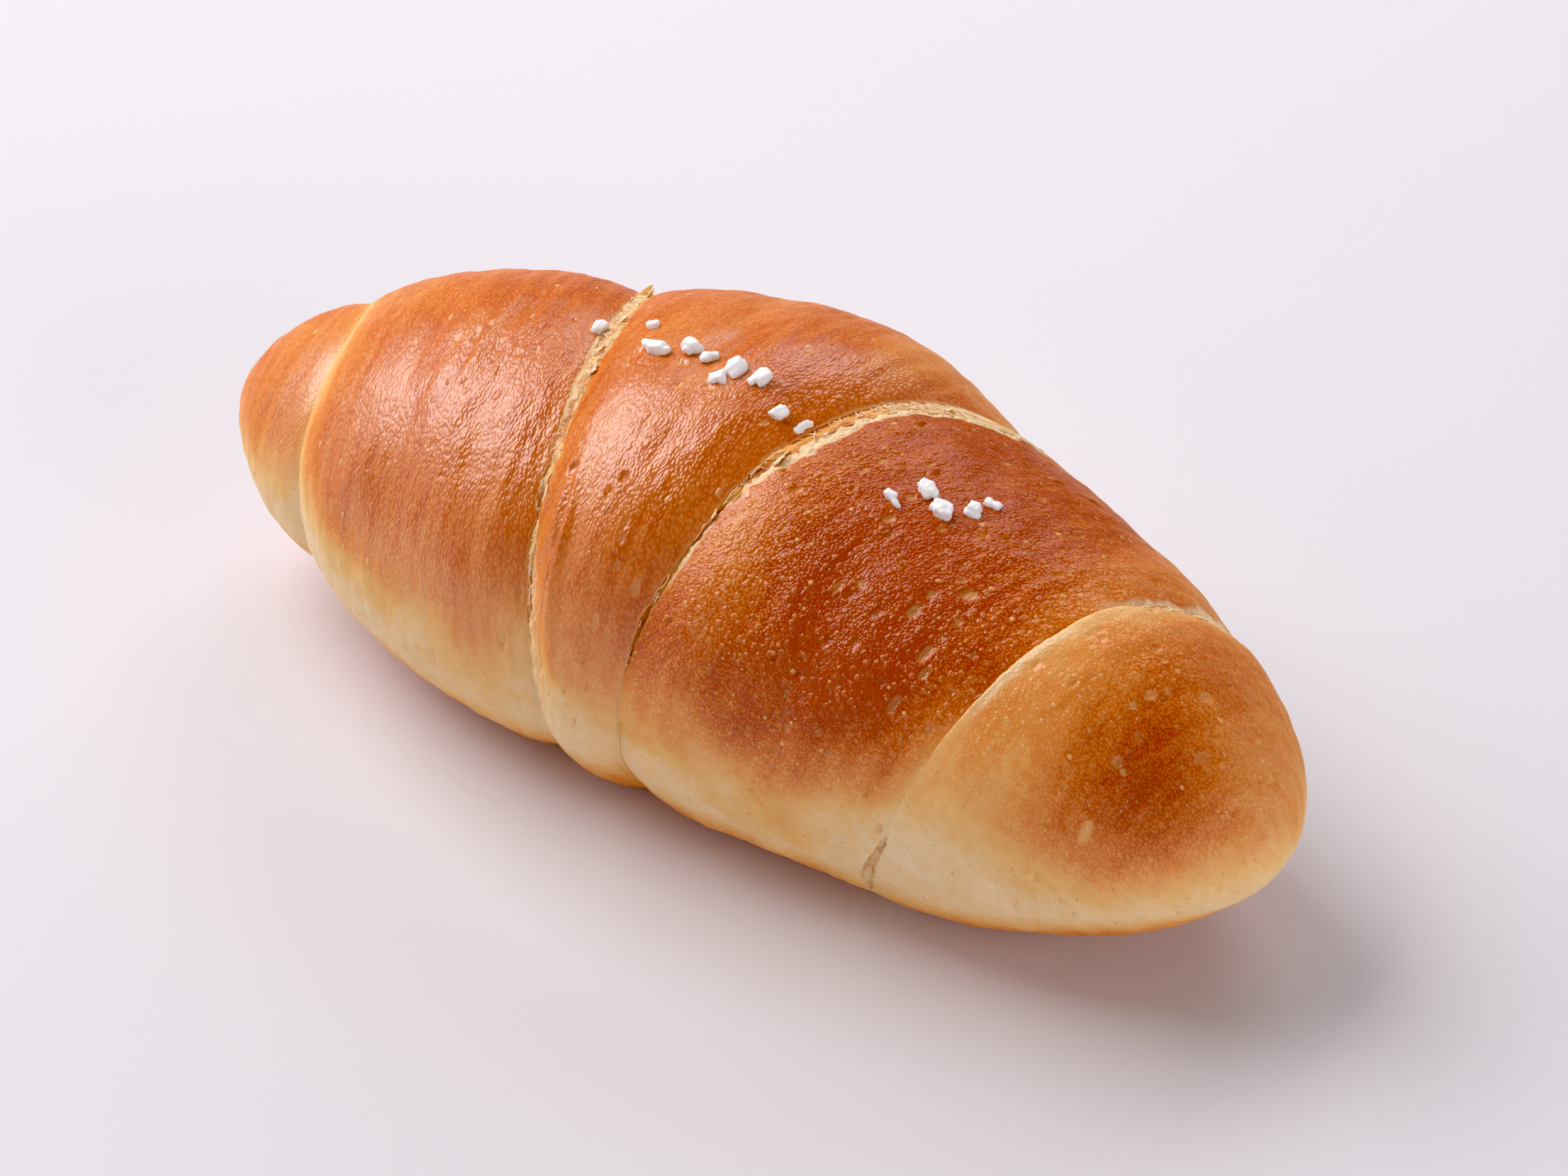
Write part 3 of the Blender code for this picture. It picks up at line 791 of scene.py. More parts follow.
def lobe_skin(lobe):
    """Points and named surface values of one lobe, rows from left to right."""
    x, angle, part, points, from_left, from_right = lobe_grid(lobe)
    normals = grid_normals(points)
    if lobe == 0:
        normals[:2] = normals[2]
    length = wrap_length(angle, points)
    flow = (x - (border_x(lobe, angle) + border_x(lobe + 1, angle)) / 2) / MM
    fine = lattice_noise(points, 0.0005, 21)
    blisters, blister_tint = blister_relief(lobe, x, angle, part, flow, length)
    strokes, stroke_tint = stroke_relief(lobe, x, angle)
    lips, cream = torn_edges(lobe, angle, from_left, from_right, fine)
    crumb = torn_crumb(lobe, angle, from_left, from_right)
    relief = blisters * settings().blister_height / (FULL_HEIGHT_MM * MM) + strokes + lips
    relief = with_waves(lobe, relief, points, flow, length)
    relief += crumb * (0.16 + 0.2 * fine + 0.12 * lattice_noise(points, 0.0011, 22)) * MM
    relief *= 1 - smooth(np.abs(wrapped(angle)), *SOLE_FADE)
    points = points + normals * relief[..., None]
    points = np.clip(points, np.array(CAD_LOW) + BOX_MARGIN, np.array(CAD_HIGH) - BOX_MARGIN)
    bake = paler_by_seams(lobe, bake_tone(x, angle, points), angle, from_left, from_right)
    shares = {"bake": bake, "cream": cream, "crumb": crumb, "blister": blister_tint + stroke_tint}
    values = {name: np.clip(share, 0, 1) for name, share in shares.items()}
    values["cover"] = SPOT_COVER[lobe] * (1 - crumb)
    values["flow"] = flat(flow, length / WRAP_STRETCH[lobe])
    return points, values


# ---------------------------------------------------------------- closed shells
# Rows that turn under a torn edge: share of the way to the core, and how far back into the lobe
TUCKS = ((0.012, 0.00002), (0.035, 0.00014), (0.08, 0.0005), (0.16, 0.0011), (0.5, 0.0022))

# Bake and tints of what is turned under
TUCKED_VALUES = {"bake": 0.40, "cream": 0.0, "crumb": 0.0, "blister": 0.0, "cover": 0.0}


def tucked_rows(edge, direction):
    """Rows that turn under an edge towards the core, and the pole that they close on."""
    rows = []
    for share, inset in TUCKS:
        x = edge[:, 0] + direction * inset
        core = core_point(np.mean(x))
        row = edge + (core - edge) * share
        row[:, 0] = x + (core[0] - x) * max(share - 0.1, 0)
        rows.append(row)
    return rows, core


def with_tucks(lobe, points):
    """Rows with those added that turn under the torn edges and end on the core, the poles, the
    row of the skin each takes its values from, and whether it is turned under."""
    last = points.shape[0] - 1
    rows, source, under = list(points), list(range(last + 1)), [False] * (last + 1)
    turned = [False] + [True] * (len(TUCKS) - 1)
    left_pole, right_pole = core_point(-HALF), core_point(HALF)
    if lobe < 4:
        extra, right_pole = tucked_rows(points[-1], -1)
        rows, source, under = rows + extra, source + [last] * len(extra), under + turned
    if lobe > 0:
        extra, left_pole = tucked_rows(points[0], 1)
        rows, source = extra[::-1] + rows, [0] * len(extra) + source
        under = turned[::-1] + under
    return np.array(rows), left_pole, right_pole, source, under


def split_upright(mesh, cuts):
    """Cut every edge that runs along the tube into equal pieces."""
    bpy.ops.object.mode_set(mode="EDIT")
    bpy.ops.mesh.select_mode(type="EDGE")
    bpy.ops.mesh.select_all(action="DESELECT")
    bpy.ops.object.mode_set(mode="OBJECT")
    for edge in mesh.edges:
        first, second = (mesh.vertices[k].co for k in edge.vertices)
        edge.select = abs(first.z - second.z) > 1e-4
    bpy.ops.object.mode_set(mode="EDIT")
    bpy.ops.mesh.subdivide(number_cuts=cuts)
    bpy.ops.object.mode_set(mode="OBJECT")


def get_points(piece):
    """A piece's vertices as rows of x, y and z."""
    co = np.empty(len(piece.data.vertices) * 3)
    piece.data.vertices.foreach_get("co", co)
    return co.reshape(-1, 3)


def closed_tube(name, rows, columns):
    """A closed tube with a pole at the left and the right, of an odd number of rows; also the row
    and the column of each vertex."""
    bpy.ops.object.select_all(action="DESELECT")
    bpy.ops.mesh.primitive_cylinder_add(
        vertices=columns, radius=1.0, depth=2.0, end_fill_type="TRIFAN")
    piece = bpy.context.object
    piece.name = piece.data.name = name
    split_upright(piece.data, 1)
    split_upright(piece.data, (rows - 1) // 2 - 1)
    co = get_points(piece)
    row = np.rint((1 - co[:, 2]) / 2 * (rows - 1)).astype(int) + 1
    pole = np.hypot(co[:, 0], co[:, 1]) < 0.5
    row[pole & (co[:, 2] > 0)] = 0
    row[pole & (co[:, 2] < 0)] = rows + 1
    column = np.rint(np.arctan2(co[:, 1], co[:, 0]) / math.tau * columns).astype(int) % columns
    return piece, rows + 1 - row, column


def set_points(piece, points):
    """Move a piece's vertices."""
    piece.data.vertices.foreach_set("co", np.asarray(points, np.float32).ravel())
    piece.data.update()


def set_value(piece, name, values):
    """Keep a number or a vector on each vertex."""
    values = np.asarray(values, np.float32)
    kind, slot = ("FLOAT_VECTOR", "vector") if values.ndim == 2 else ("FLOAT", "value")
    layer = piece.data.attributes.new(name, kind, "POINT")
    layer.data.foreach_set(slot, values.ravel())


def shell_of_rows(name, rows, left_pole, right_pole):
    """A closed shell through rows of points; also the row and the column of each vertex."""
    piece, row, column = closed_tube(name, len(rows), rows.shape[1])
    inner = np.clip(row - 1, 0, len(rows) - 1)
    # the tube's columns turn the same way about X as the girth angle, from -180
    points = rows[inner, column]
    points[row == 0] = left_pole
    points[row == len(rows) + 1] = right_pole
    set_points(piece, points)
    return piece, inner, column


def join_pieces(pieces, name):
    """Several mesh objects as one."""
    bpy.ops.object.select_all(action="DESELECT")
    for piece in pieces:
        piece.select_set(True)
    bpy.context.view_layer.objects.active = pieces[0]
    bpy.ops.object.join()
    joined = bpy.context.object
    joined.name = joined.data.name = name
    return joined


def finish_piece(piece, material):
    """Smooth shading, finish and seat on the CAD body."""
    bpy.ops.object.select_all(action="DESELECT")
    piece.select_set(True)
    bpy.context.view_layer.objects.active = piece
    bpy.ops.object.shade_smooth()
    piece.data.materials.clear()
    piece.data.materials.append(material)
    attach(piece, "root")
    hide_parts(CAD_NODE)


def make_lobe(lobe, material):
    """One baked lobe as a closed shell."""
    points, values = lobe_skin(lobe)
    rows, left_pole, right_pole, source, under = with_tucks(lobe, points)
    piece, row, column = shell_of_rows(LOBE_NAMES[lobe], rows, left_pole, right_pole)
    taken, turned_under = np.array(source)[row], np.array(under)[row]
    for name, grid in values.items():
        value = grid[taken, column]
        if name in TUCKED_VALUES:
            value = np.where(turned_under, TUCKED_VALUES[name], value)
        set_value(piece, name, value)
    finish_piece(piece, material)


# ---------------------------------------------------------------- bare dough in the seams
STRIP_NAMES = {1: "dough_seam_centre", 2: "dough_seam_right", 3: "dough_seam_tip"}
STRIP_AROUND, STRIP_ACROSS = 560, 27
STRIP_HIDDEN = 0.00035      # how far the dough runs under the crust on each side
STRIP_CLEARANCE = 0.00005   # how far it lies below the crust's edges at least
STRIP_SHOWN = (125, 150)    # girth angles between which the dough's relief fades
STRIP_SOLE = (140, 158)     # and between which it sinks into the sole
STRIP_LOW = 0.0002          # lowest place of the dough above the table
BACK_SHARES = (0.5, 0.93)   # rows behind the dough, as shares of the way out from the core

# Forms of the dough: size across and along the seam in mm, and seed
FOLDS, COMB, LUMPS = (0.55, 3.2, 140), (1.8, 0.42, 150), (0.8, 1.3, 160)
FOLD_HEIGHT, COMB_HEIGHT, LUMP_HEIGHT = 0.24, 0.08, 0.16    # mm

# How milky the stretched dough is along each seam: girth angle, share
MILKY = {
    1: ((-60, 1.0), (-5, 0.95), (12, 0.75), (30, 0.55), (80, 0.45)),
    2: ((-34, 1.0), (-22, 0.85), (-10, 0.25), (5, 0.05), (80, 0.0)),
    3: ((-40, 0.8), (-20, 0.6), (0, 0.3), (90, 0.8)),
}


def strip_milkiness(seam, angle):
    """Share of milky thin dough at a girth angle."""
    stations, shares = zip(*MILKY[seam])
    return np.interp(wrapped(angle), stations, shares)


def dough_form(seam, form, across, girth):
    """One of the dough's forms from -1 to 1, at places in mm across and along the seam."""
    wide, long, seed = form
    return lattice_noise(flat(across / wide, girth / long), 1.0, seed + seam)


def strip_skin(seam):
    """Points and named surface values of the dough in a gap, rows from left to right."""
    angle = girth_angles(STRIP_AROUND)[None, :]
    left, right = edge_x(seam, -1, angle), edge_x(seam, 1, angle)
    share = np.linspace(0, 1, STRIP_ACROSS)[:, None]
    x = left - STRIP_HIDDEN + share * (right - left + 2 * STRIP_HIDDEN)
    angle = angle + 0 * x
    level = skin_radius(seam, left, angle)
    level = level + (skin_radius(seam + 1, right, angle) - level) * smooth(x, left, right)
    middle = smooth(x, left, left + 0.4 * MM) * smooth(x, right, right - 0.4 * MM)
    across, girth = (x - left) / MM, np.radians(angle) * level / MM
    folds, comb, lumps = (dough_form(seam, form, across, girth) for form in (FOLDS, COMB, LUMPS))
    relief = folds * FOLD_HEIGHT + lumps * LUMP_HEIGHT + comb * COMB_HEIGHT
    relief = middle * relief * MM
    sag = settings().strip_depth * (0.6 + middle * np.clip((right - left) / MM / 1.5, 0, 1))
    shown = 1 - smooth(np.abs(angle), *STRIP_SHOWN)
    sunk = smooth(np.abs(angle), *STRIP_SOLE) * 0.8 * MM + closed_share(seam, angle) * 0.6 * MM
    points = place_on_girth(x, level - sunk + (relief - sag) * shown - STRIP_CLEARANCE, angle)
    points[..., 2] = np.maximum(points[..., 2], STRIP_LOW)
    # mask of the painted shade: high where the folds and lumps dip and next to the crust's edges
    hollow_shade = np.clip(0.5 - folds * 0.6 - lumps * 0.5 + (1 - middle) * 0.25, 0, 1)
    values = {"flow": flat(across, girth), "hollow_shade": hollow_shade,
              "milky": strip_milkiness(seam, angle)}
    return points, values


def make_strip(seam, material):
    """The bare dough under a seam: a closed disc whose folded, fibrous rim shows in the gap."""
    points, values = strip_skin(seam)
    core = core_point(float(np.mean(points[..., 0])))
    left_back = [[core + (points[0] - core) * share] for share in BACK_SHARES]
    right_back = [[core + (points[-1] - core) * share] for share in reversed(BACK_SHARES)]
    rows = np.concatenate([*left_back, points, *right_back])
    aside = np.array([0.1 * MM, 0, 0])
    piece, row, column = shell_of_rows(STRIP_NAMES[seam], rows, core - aside, core + aside)
    taken = np.clip(row - len(BACK_SHARES), 0, STRIP_ACROSS - 1)
    for name, grid in values.items():
        set_value(piece, name, grid[taken, column])
    finish_piece(piece, material)


# ---------------------------------------------------------------- materials
# Heights in mm of the crust's fine relief
PORE_HEIGHT, TINY_HEIGHT, SMALL_HEIGHT = 0.040, 0.030, 0.105
PEBBLE_HEIGHTS = (0.012, 0.100)         # where the spots are sparse, and where they are dense
POWDER_HEIGHT, GRIT_HEIGHT = 0.012, 0.25

# Small blisters of the crust: cells per mm, radius of the largest in cells
WIDE_FLECKS, TINY_FLECKS, SMALL_FLECKS = (1.05, 0.52), (1.45, 0.24), (0.70, 0.24)
WIDE_SHOWN = 0.90                       # share of the cells that hold one
TINY_SHOWN, SMALL_SHOWN = (0.14, 0.03), (0.20, 0.10)    # the same, by patches and everywhere

# How much each pattern changes the tone, and how much of each tint shows
# the third of these paints shade into the crevices between the crust's bumps
BROAD_MOTTLE, FINE_MOTTLE, CREVICE_SHADE_TONE = 0.26, 0.22, 0.26
STREAK_TONE = (0.34, 0.05)              # on brown crust, and everywhere
TINY_PALE, WIDE_PALE, BLISTER_PALE, ALL_PALE, CREAM_PALE = 0.75, 0.13, 0.72, 0.85, 0.7

BROWN_RANGE = (0.20, 0.75)              # bake values between which the crust counts as brown
COVER_RANGE = (0.5, 1.0)                # sparse and dense spots
LEATHERY = (0.10, 0.60)                 # how leathery the crust is at each


def fill_inputs(tree, node, inputs):
    """Set a node's sockets to numbers or colours, or link them where a socket is given."""
    for key, value in inputs.items():
        if isinstance(value, bpy.types.NodeSocket):
            tree.links.new(value, node.inputs[key])
        else:
            node.inputs[key].default_value = value


def add_node(tree, kind, inputs, **choices):
    """Add a shader node with its choices and inputs set."""
    made = tree.nodes.new(kind)
    for name, value in choices.items():
        setattr(made, name, value)
    fill_inputs(tree, made, inputs)
    return made


def new_material(name):
    """A material, its nodes and its shader."""
    material = bpy.data.materials.new(name)
    material.use_nodes = True
    return material, material.node_tree, material.node_tree.nodes["Principled BSDF"]


def rgba(colour):
    """A colour that hides all that is behind it."""
    return (*colour, 1.0)


def kept_number(tree, name):
    """The number of this name on the vertices."""
    return add_node(tree, "ShaderNodeAttribute", {}, attribute_name=name).outputs["Fac"]


def kept_flow(tree):
    """Places on the surface in mm: across the lobe or gap, and round the girth."""
    return add_node(tree, "ShaderNodeAttribute", {}, attribute_name="flow").outputs["Vector"]


def object_place(tree):
    """Places in the piece, in metres."""
    return add_node(tree, "ShaderNodeTexCoord", {}).outputs["Object"]


def math_node(tree, operation, *numbers, clamp=False):
    """One step of arithmetic on numbers or sockets."""
    made = add_node(tree, "ShaderNodeMath", dict(enumerate(numbers)), operation=operation,
                    use_clamp=clamp)
    return made.outputs[0]


def times(tree, first, second):
    """first * second"""
    return math_node(tree, "MULTIPLY", first, second)


def minus(tree, first, second):
    """first - second"""
    return math_node(tree, "SUBTRACT", first, second)


def times_plus(tree, first, second, third, clamp=False):
    """first * second + third"""
    return math_node(tree, "MULTIPLY_ADD", first, second, third, clamp=clamp)


def larger(tree, first, second):
    """The larger of two numbers."""
    return math_node(tree, "MAXIMUM", first, second)


def vector_node(tree, operation, *vectors):
    """One step of arithmetic on vectors or sockets."""
    made = add_node(tree, "ShaderNodeVectorMath", dict(enumerate(vectors)), operation=operation)
    return made.outputs[0]


def stretch(tree, vector, scale):
    """A vector with each of its numbers scaled."""
    return vector_node(tree, "MULTIPLY", vector, scale)


def noise_node(tree, vector, scale, detail, roughness):
    """Soft random pattern, 0 to 1."""
    made = add_node(tree, "ShaderNodeTexNoise",
                    {"Vector": vector, "Scale": scale, "Detail": detail, "Roughness": roughness})
    return made.outputs["Fac"]


def surface_noise(tree, flow, across, along, detail, roughness):
    """Noise with so many spots per mm across the lobe or gap and along the girth."""
    return noise_node(tree, stretch(tree, flow, (across, along, 1)), 1.0, detail, roughness)


def mix_colour(tree, share, first, second):
    """The first colour where the share is 0, the second where it is 1."""
    return add_node(tree, "ShaderNodeMix", {0: share, 6: first, 7: second}, data_type="RGBA",
                    clamp_factor=True).outputs[2]


def map_range(tree, value, low, high, to_low=0.0, to_high=1.0, kind="SMOOTHSTEP"):
    """A number brought from one range to another."""
    made = add_node(tree, "ShaderNodeMapRange",
                    {"Value": value, "From Min": low, "From Max": high, "To Min": to_low,
                     "To Max": to_high}, interpolation_type=kind)
    return made.outputs["Result"]


def straight_range(tree, value, low, high, to_low, to_high):
    """A number brought from one range to another, without easing."""
    return map_range(tree, value, low, high, to_low, to_high, kind="LINEAR")


def bumped(tree, height, strength, distance):
    """The normal of a surface with these heights."""
    bump = add_node(tree, "ShaderNodeBump",
                    {"Height": height, "Strength": strength, "Distance": distance})
    return bump.outputs["Normal"]


def soft_inside(tree, shader, weight, radius, scale):
    """Let light through the outermost part of a material."""
    fill_inputs(tree, shader, {"Subsurface Weight": weight, "Subsurface Radius": radius,
                               "Subsurface Scale": scale})


def fleck_layer(tree, vector, per_mm, largest, shown):
    """Small round blisters: a share of the cells hold one, each of its own size, the largest a
    share of a cell. Their domes, and how pale they are."""
    cells = add_node(tree, "ShaderNodeTexVoronoi",
                     {"Vector": stretch(tree, vector, (per_mm, per_mm, 1)), "Scale": 1.0},
                     feature="F1", voronoi_dimensions="2D")
    pick = add_node(tree, "ShaderNodeSeparateColor", {"Color": cells.outputs["Color"]})
    rare = minus(tree, 1.0, shown)
    size = straight_range(tree, pick.outputs[0], rare, 1.0, 0.35 * largest, largest)
    drawn = math_node(tree, "GREATER_THAN", pick.outputs[0], rare)
    inside = minus(tree, size, cells.outputs["Distance"])
    dome = times(tree, map_range(tree, inside, 0.0, largest * 0.55), drawn)
    paleness = straight_range(tree, pick.outputs[1], 0.15, 1.0, 0.1, 1.0)
    skin = times(tree, map_range(tree, inside, -0.02, 0.07), drawn)
    return dome, times(tree, skin, paleness)


def crust_patterns(tree):
    """The numbers on the crust's vertices, and the patterns that its finishes share."""
    p = SimpleNamespace()
    for name in ("bake", "blister", "cream", "crumb", "cover"):
        setattr(p, name, kept_number(tree, name))
    flow = kept_flow(tree)
    bent = add_node(tree, "ShaderNodeTexNoise",
                    {"Vector": stretch(tree, flow, (1.3, 1.3, 1)), "Scale": 1.0, "Detail": 2.0})
    warped = vector_node(tree, "MULTIPLY_ADD", bent.outputs["Color"], (0.3, 0.3, 0.0), flow)
    p.broad = surface_noise(tree, flow, 0.16, 0.20, 3.0, 0.55)
    p.middle = surface_noise(tree, flow, 0.8, 0.8, 4.0, 0.6)
    p.streaks = surface_noise(tree, warped, 0.60, 0.11, 2.0, 0.5)
    pores = add_node(tree, "ShaderNodeTexVoronoi",
                     {"Vector": stretch(tree, warped, (2.9, 2.9, 1)), "Scale": 1.0,
                      "Smoothness": 0.3}, feature="SMOOTH_F1", voronoi_dimensions="2D")
    p.pore_dome = map_range(tree, pores.outputs["Distance"], 0.60, 0.05)
    p.wide_dome, p.wide_skin = fleck_layer(tree, warped, *WIDE_FLECKS, WIDE_SHOWN)
    patches = map_range(tree, p.broad, 0.35, 0.65)
    tiny_shown = times(tree, times_plus(tree, patches, *TINY_SHOWN), p.cover)
    small_shown = times(tree, times_plus(tree, patches, *SMALL_SHOWN), p.cover)
    p.tiny_dome, p.tiny_skin = fleck_layer(tree, warped, *TINY_FLECKS, tiny_shown)
    p.small_dome, p.small_skin = fleck_layer(tree, flow, *SMALL_FLECKS, small_shown)
    p.brownness = map_range(tree, p.bake, *BROWN_RANGE)
    p.leathery = straight_range(tree, p.cover, *COVER_RANGE, *LEATHERY)
    return p


def crust_tone(tree, p):
    """The bake with its mottling, its streaks round the girth and painted shade: darker crevices,
    paler bump tops.
    """
    tone = times_plus(tree, minus(tree, p.broad, 0.5), BROAD_MOTTLE, p.bake)
    tone = times_plus(tree, minus(tree, p.middle, 0.5), FINE_MOTTLE, tone)
    streaky = times_plus(tree, p.brownness, *STREAK_TONE)
    tone = math_node(tree, "ADD", times(tree, minus(tree, p.streaks, 0.5), streaky), tone)
    # painted shade: darker between the pores and pebbles and paler on their tops, most on brown
    # crust
    crevice_shade = times_plus(tree, minus(tree, 0.35, p.wide_dome), times(tree, p.leathery, 0.8),
                      minus(tree, 0.45, p.pore_dome))
    crevice_shade = times(tree, crevice_shade, times_plus(tree, p.leathery, 0.8, 0.35))
    return times_plus(tree, times(tree, crevice_shade, p.brownness), CREVICE_SHADE_TONE, tone, clamp=True)


def crust_colour(tree, p):
    """Cream to dark brown by the tone, with pale blisters, golden torn edges and cream crumb."""
    s = settings()
    ramp = add_node(tree, "ShaderNodeValToRGB", {"Fac": crust_tone(tree, p)})
    stops = ((0.0, s.cream), (0.26, s.golden), (0.50, s.orange), (0.76, s.brown), (1.0, s.dark))
    while len(ramp.color_ramp.elements) < len(stops):
        ramp.color_ramp.elements.new(0.5)
    for element, (position, colour) in zip(ramp.color_ramp.elements, stops):
        element.position = position
        element.color = rgba(colour)
    pale = larger(tree, times(tree, p.tiny_skin, TINY_PALE), p.small_skin)
    pale = larger(tree, pale, times(tree, p.wide_skin, times(tree, p.leathery, WIDE_PALE)))
    pale = larger(tree, pale, times(tree, p.blister, BLISTER_PALE))
    pale = times(tree, pale, ALL_PALE)
    colour = mix_colour(tree, pale, ramp.outputs["Color"], rgba(s.blister_tint))
    colour = mix_colour(tree, times(tree, p.cream, CREAM_PALE), colour, rgba(s.edge_tint))
    return mix_colour(tree, p.crumb, colour, rgba(s.crumb_tint))


def crust_roughness(tree, p):
    """Rougher where the crust is pale or torn."""
    rough = times_plus(tree, p.middle, 0.16, 0.34)
    rough = times_plus(tree, minus(tree, 1.0, p.brownness), 0.12, rough)
    return times_plus(tree, p.crumb, 0.3, rough, clamp=True)


def crust_gloss(tree, p):
    """Weight of the glaze: less where the crust is dry, pebbly or seen at a glancing angle."""
    dry = larger(tree, p.crumb, minus(tree, 1.0, p.brownness))
    gloss = times_plus(tree, dry, -0.35, 1.0, clamp=True)
    gloss = times(tree, gloss, straight_range(tree, p.cover, 0.66, 0.9, 1.0, 0.60))
    facing = add_node(tree, "ShaderNodeLayerWeight", {"Blend": 0.5}).outputs["Facing"]
    return times(tree, gloss, map_range(tree, facing, 0.62, 0.32))


def crust_height(tree, p):
    """Height in mm of the pores, the small blisters, the floury skin and the torn crumb."""
    place = object_place(tree)
    powder = noise_node(tree, place, 6500.0, 2.0, 0.6)
    grit = noise_node(tree, place, 2600.0, 3.0, 0.6)
    raised = times_plus(tree, p.brownness, 0.8, 0.2)
    pebbly = straight_range(tree, p.cover, *COVER_RANGE, *PEBBLE_HEIGHTS)
    height = times(tree, p.pore_dome, times(tree, raised, PORE_HEIGHT))
    height = times_plus(tree, p.wide_dome, times(tree, raised, pebbly), height)
    height = times_plus(tree, p.tiny_dome, TINY_HEIGHT, height)
    height = times_plus(tree, p.small_dome, SMALL_HEIGHT, height)
    height = times_plus(tree, powder, POWDER_HEIGHT, height)
    return times_plus(tree, times(tree, grit, p.crumb), GRIT_HEIGHT, height)


def crust_material():
    """Baked crust: cream to red-brown by its bake value, with leathery pores and pale blisters."""
    material, tree, shader = new_material("baked_crust")
    p = crust_patterns(tree)
    normal = bumped(tree, crust_height(tree, p), 1.0, MM)
    fill_inputs(tree, shader, {
        "Base Color": crust_colour(tree, p), "Roughness": crust_roughness(tree, p),
        "Coat Weight": crust_gloss(tree, p), "Normal": normal, "Coat Normal": normal,
        "Coat Roughness": 0.25, "Coat IOR": 1.70, "Specular IOR Level": 0.15,
    })
    soft_inside(tree, shader, 0.08, (1.0, 0.45, 0.2), 0.0012)
    return material


def dough_material():
    """Moist stretched dough: golden, milky where thin, pale fibres along and across. Shade is
    painted darker into its folds and under the crust's edges.
    """
    s = settings()
    material, tree, shader = new_material("bare_dough")
    hollow_shade, milky, flow = kept_number(tree, "hollow_shade"), kept_number(tree, "milky"), kept_flow(tree)
    along = surface_noise(tree, flow, 3.2, 0.35, 3.0, 0.6)
    comb = surface_noise(tree, flow, 0.6, 3.4, 3.0, 0.6)
    cells = noise_node(tree, object_place(tree), 1500.0, 3.0, 0.6)
    # deep is the share of painted shade: the mask broken by fine noise, less where the dough is
    # milky
    deep = times_plus(tree, minus(tree, cells, 0.5), 0.9, hollow_shade)
    deep = times(tree, map_range(tree, deep, 0.45, 1.05), times_plus(tree, milky, -0.65, 1.0))
    colour = mix_colour(tree, milky, rgba(s.dough_tint), rgba(s.dough_milky))
    colour = mix_colour(tree, deep, colour, rgba(s.dough_shade_painted))
    fibres = larger(tree, map_range(tree, along, 0.55, 0.66), map_range(tree, comb, 0.58, 0.70))
    fibres = times(tree, fibres, times_plus(tree, milky, 0.45, 0.25))
    colour = mix_colour(tree, fibres, colour, rgba(s.thread_tint))
    height = math_node(tree, "ADD", math_node(tree, "ADD", along, comb), times(tree, cells, 0.6))
    fill_inputs(tree, shader, {"Base Color": colour, "Roughness": 0.32,
                               "Normal": bumped(tree, height, 0.9, 0.00012)})
    soft_inside(tree, shader, 0.5, (1.0, 0.6, 0.25), 0.0020)
    return material


def thread_material():
    """Dry white-yellow dough threads and flakes."""
    s = settings()
    material, tree, shader = new_material("dry_dough")
    cloudy = noise_node(tree, object_place(tree), 900.0, 2.0, 0.5)
    colour = mix_colour(tree, map_range(tree, cloudy, 0.35, 0.65), rgba(s.dough_milky),
                        rgba(s.thread_tint))
    fill_inputs(tree, shader, {"Base Color": colour, "Roughness": 0.5})
    soft_inside(tree, shader, 0.4, (1.0, 0.8, 0.5), 0.0008)
    return material


def salt_material():
    """Opaque coarse salt with a sugary broken surface."""
    tint = settings().salt_tint
    material, tree, shader = new_material("coarse_salt")
    frost = noise_node(tree, object_place(tree), 3500.0, 3.0, 0.6)
    shaded = tuple(share * 0.96 for share in tint)
    colour = mix_colour(tree, map_range(tree, frost, 0.35, 0.65), rgba(shaded), rgba(tint))
    fill_inputs(tree, shader, {"Base Color": colour, "Roughness": 0.5,
                               "Normal": bumped(tree, frost, 0.5, 0.00005)})
    soft_inside(tree, shader, 0.5, (1.0, 0.95, 0.95), 0.0010)
    return material


def floor_material():
    """Plain pale floor with a faint grain."""
    material, tree, shader = new_material("pale_floor")
    grain = noise_node(tree, object_place(tree), 1400.0, 2.0, 0.5)
    fill_inputs(tree, shader, {
        "Base Color": rgba(settings().floor_tint), "Roughness": 0.6, "Specular IOR Level": 0.3,
        "Normal": bumped(tree, grain, 0.12, 0.0002)})
    return material


# ---------------------------------------------------------------- places on the crust
FRAME_STEP, FRAME_TURN = 0.0012, 2.5    # metres and degrees over which the crust's slope is taken


def crust_point(x, angle):
    """A point of the plain crust."""
    lines = [float(border_x(k, np.array(float(angle)))) for k in range(6)]
    lobe = next((k for k in range(5) if x <= lines[k + 1]), 4)
    at, turn = np.array(float(x)), np.array(float(angle))
    return Vector(place_on_girth(at, crust_radius(lobe, at, turn), turn))


def crust_frame(x, angle, turn):
    """Axes on the crust: the length turned in the tangent plane, the height outward."""
    along = crust_point(x + FRAME_STEP, angle) - crust_point(x - FRAME_STEP, angle)
    around = crust_point(x, angle - FRAME_TURN) - crust_point(x, angle + FRAME_TURN)
    up = along.cross(around).normalized()
    ahead = (along - up * along.dot(up)).normalized()
    side = up.cross(ahead)
    long_axis = ahead * math.cos(math.radians(turn)) + side * math.sin(math.radians(turn))
    return Matrix((long_axis, up.cross(long_axis), up)).transposed()


# ---------------------------------------------------------------- threads and flakes
# Torn threads: seam, first and last girth angle, how many cross the seam, how many run along it
THREADS = ((1, -36, 12, 42, 14), (1, 12, 72, 40, 26), (2, -46, -14, 46, 12), (2, -14, 36, 26, 8),
           (2, 48, 78, 10, 4), (3, -38, -8, 20, 4))
THREAD_POINTS = 8
THREAD_RISE_MM, FLAKE_RISE_MM = 0.05, 0.06      # how far above the gap they start
FLAKE_GRID = (11, 7)                            # pieces along and across a flake
FLAKE_THICKNESS = 0.14 * MM

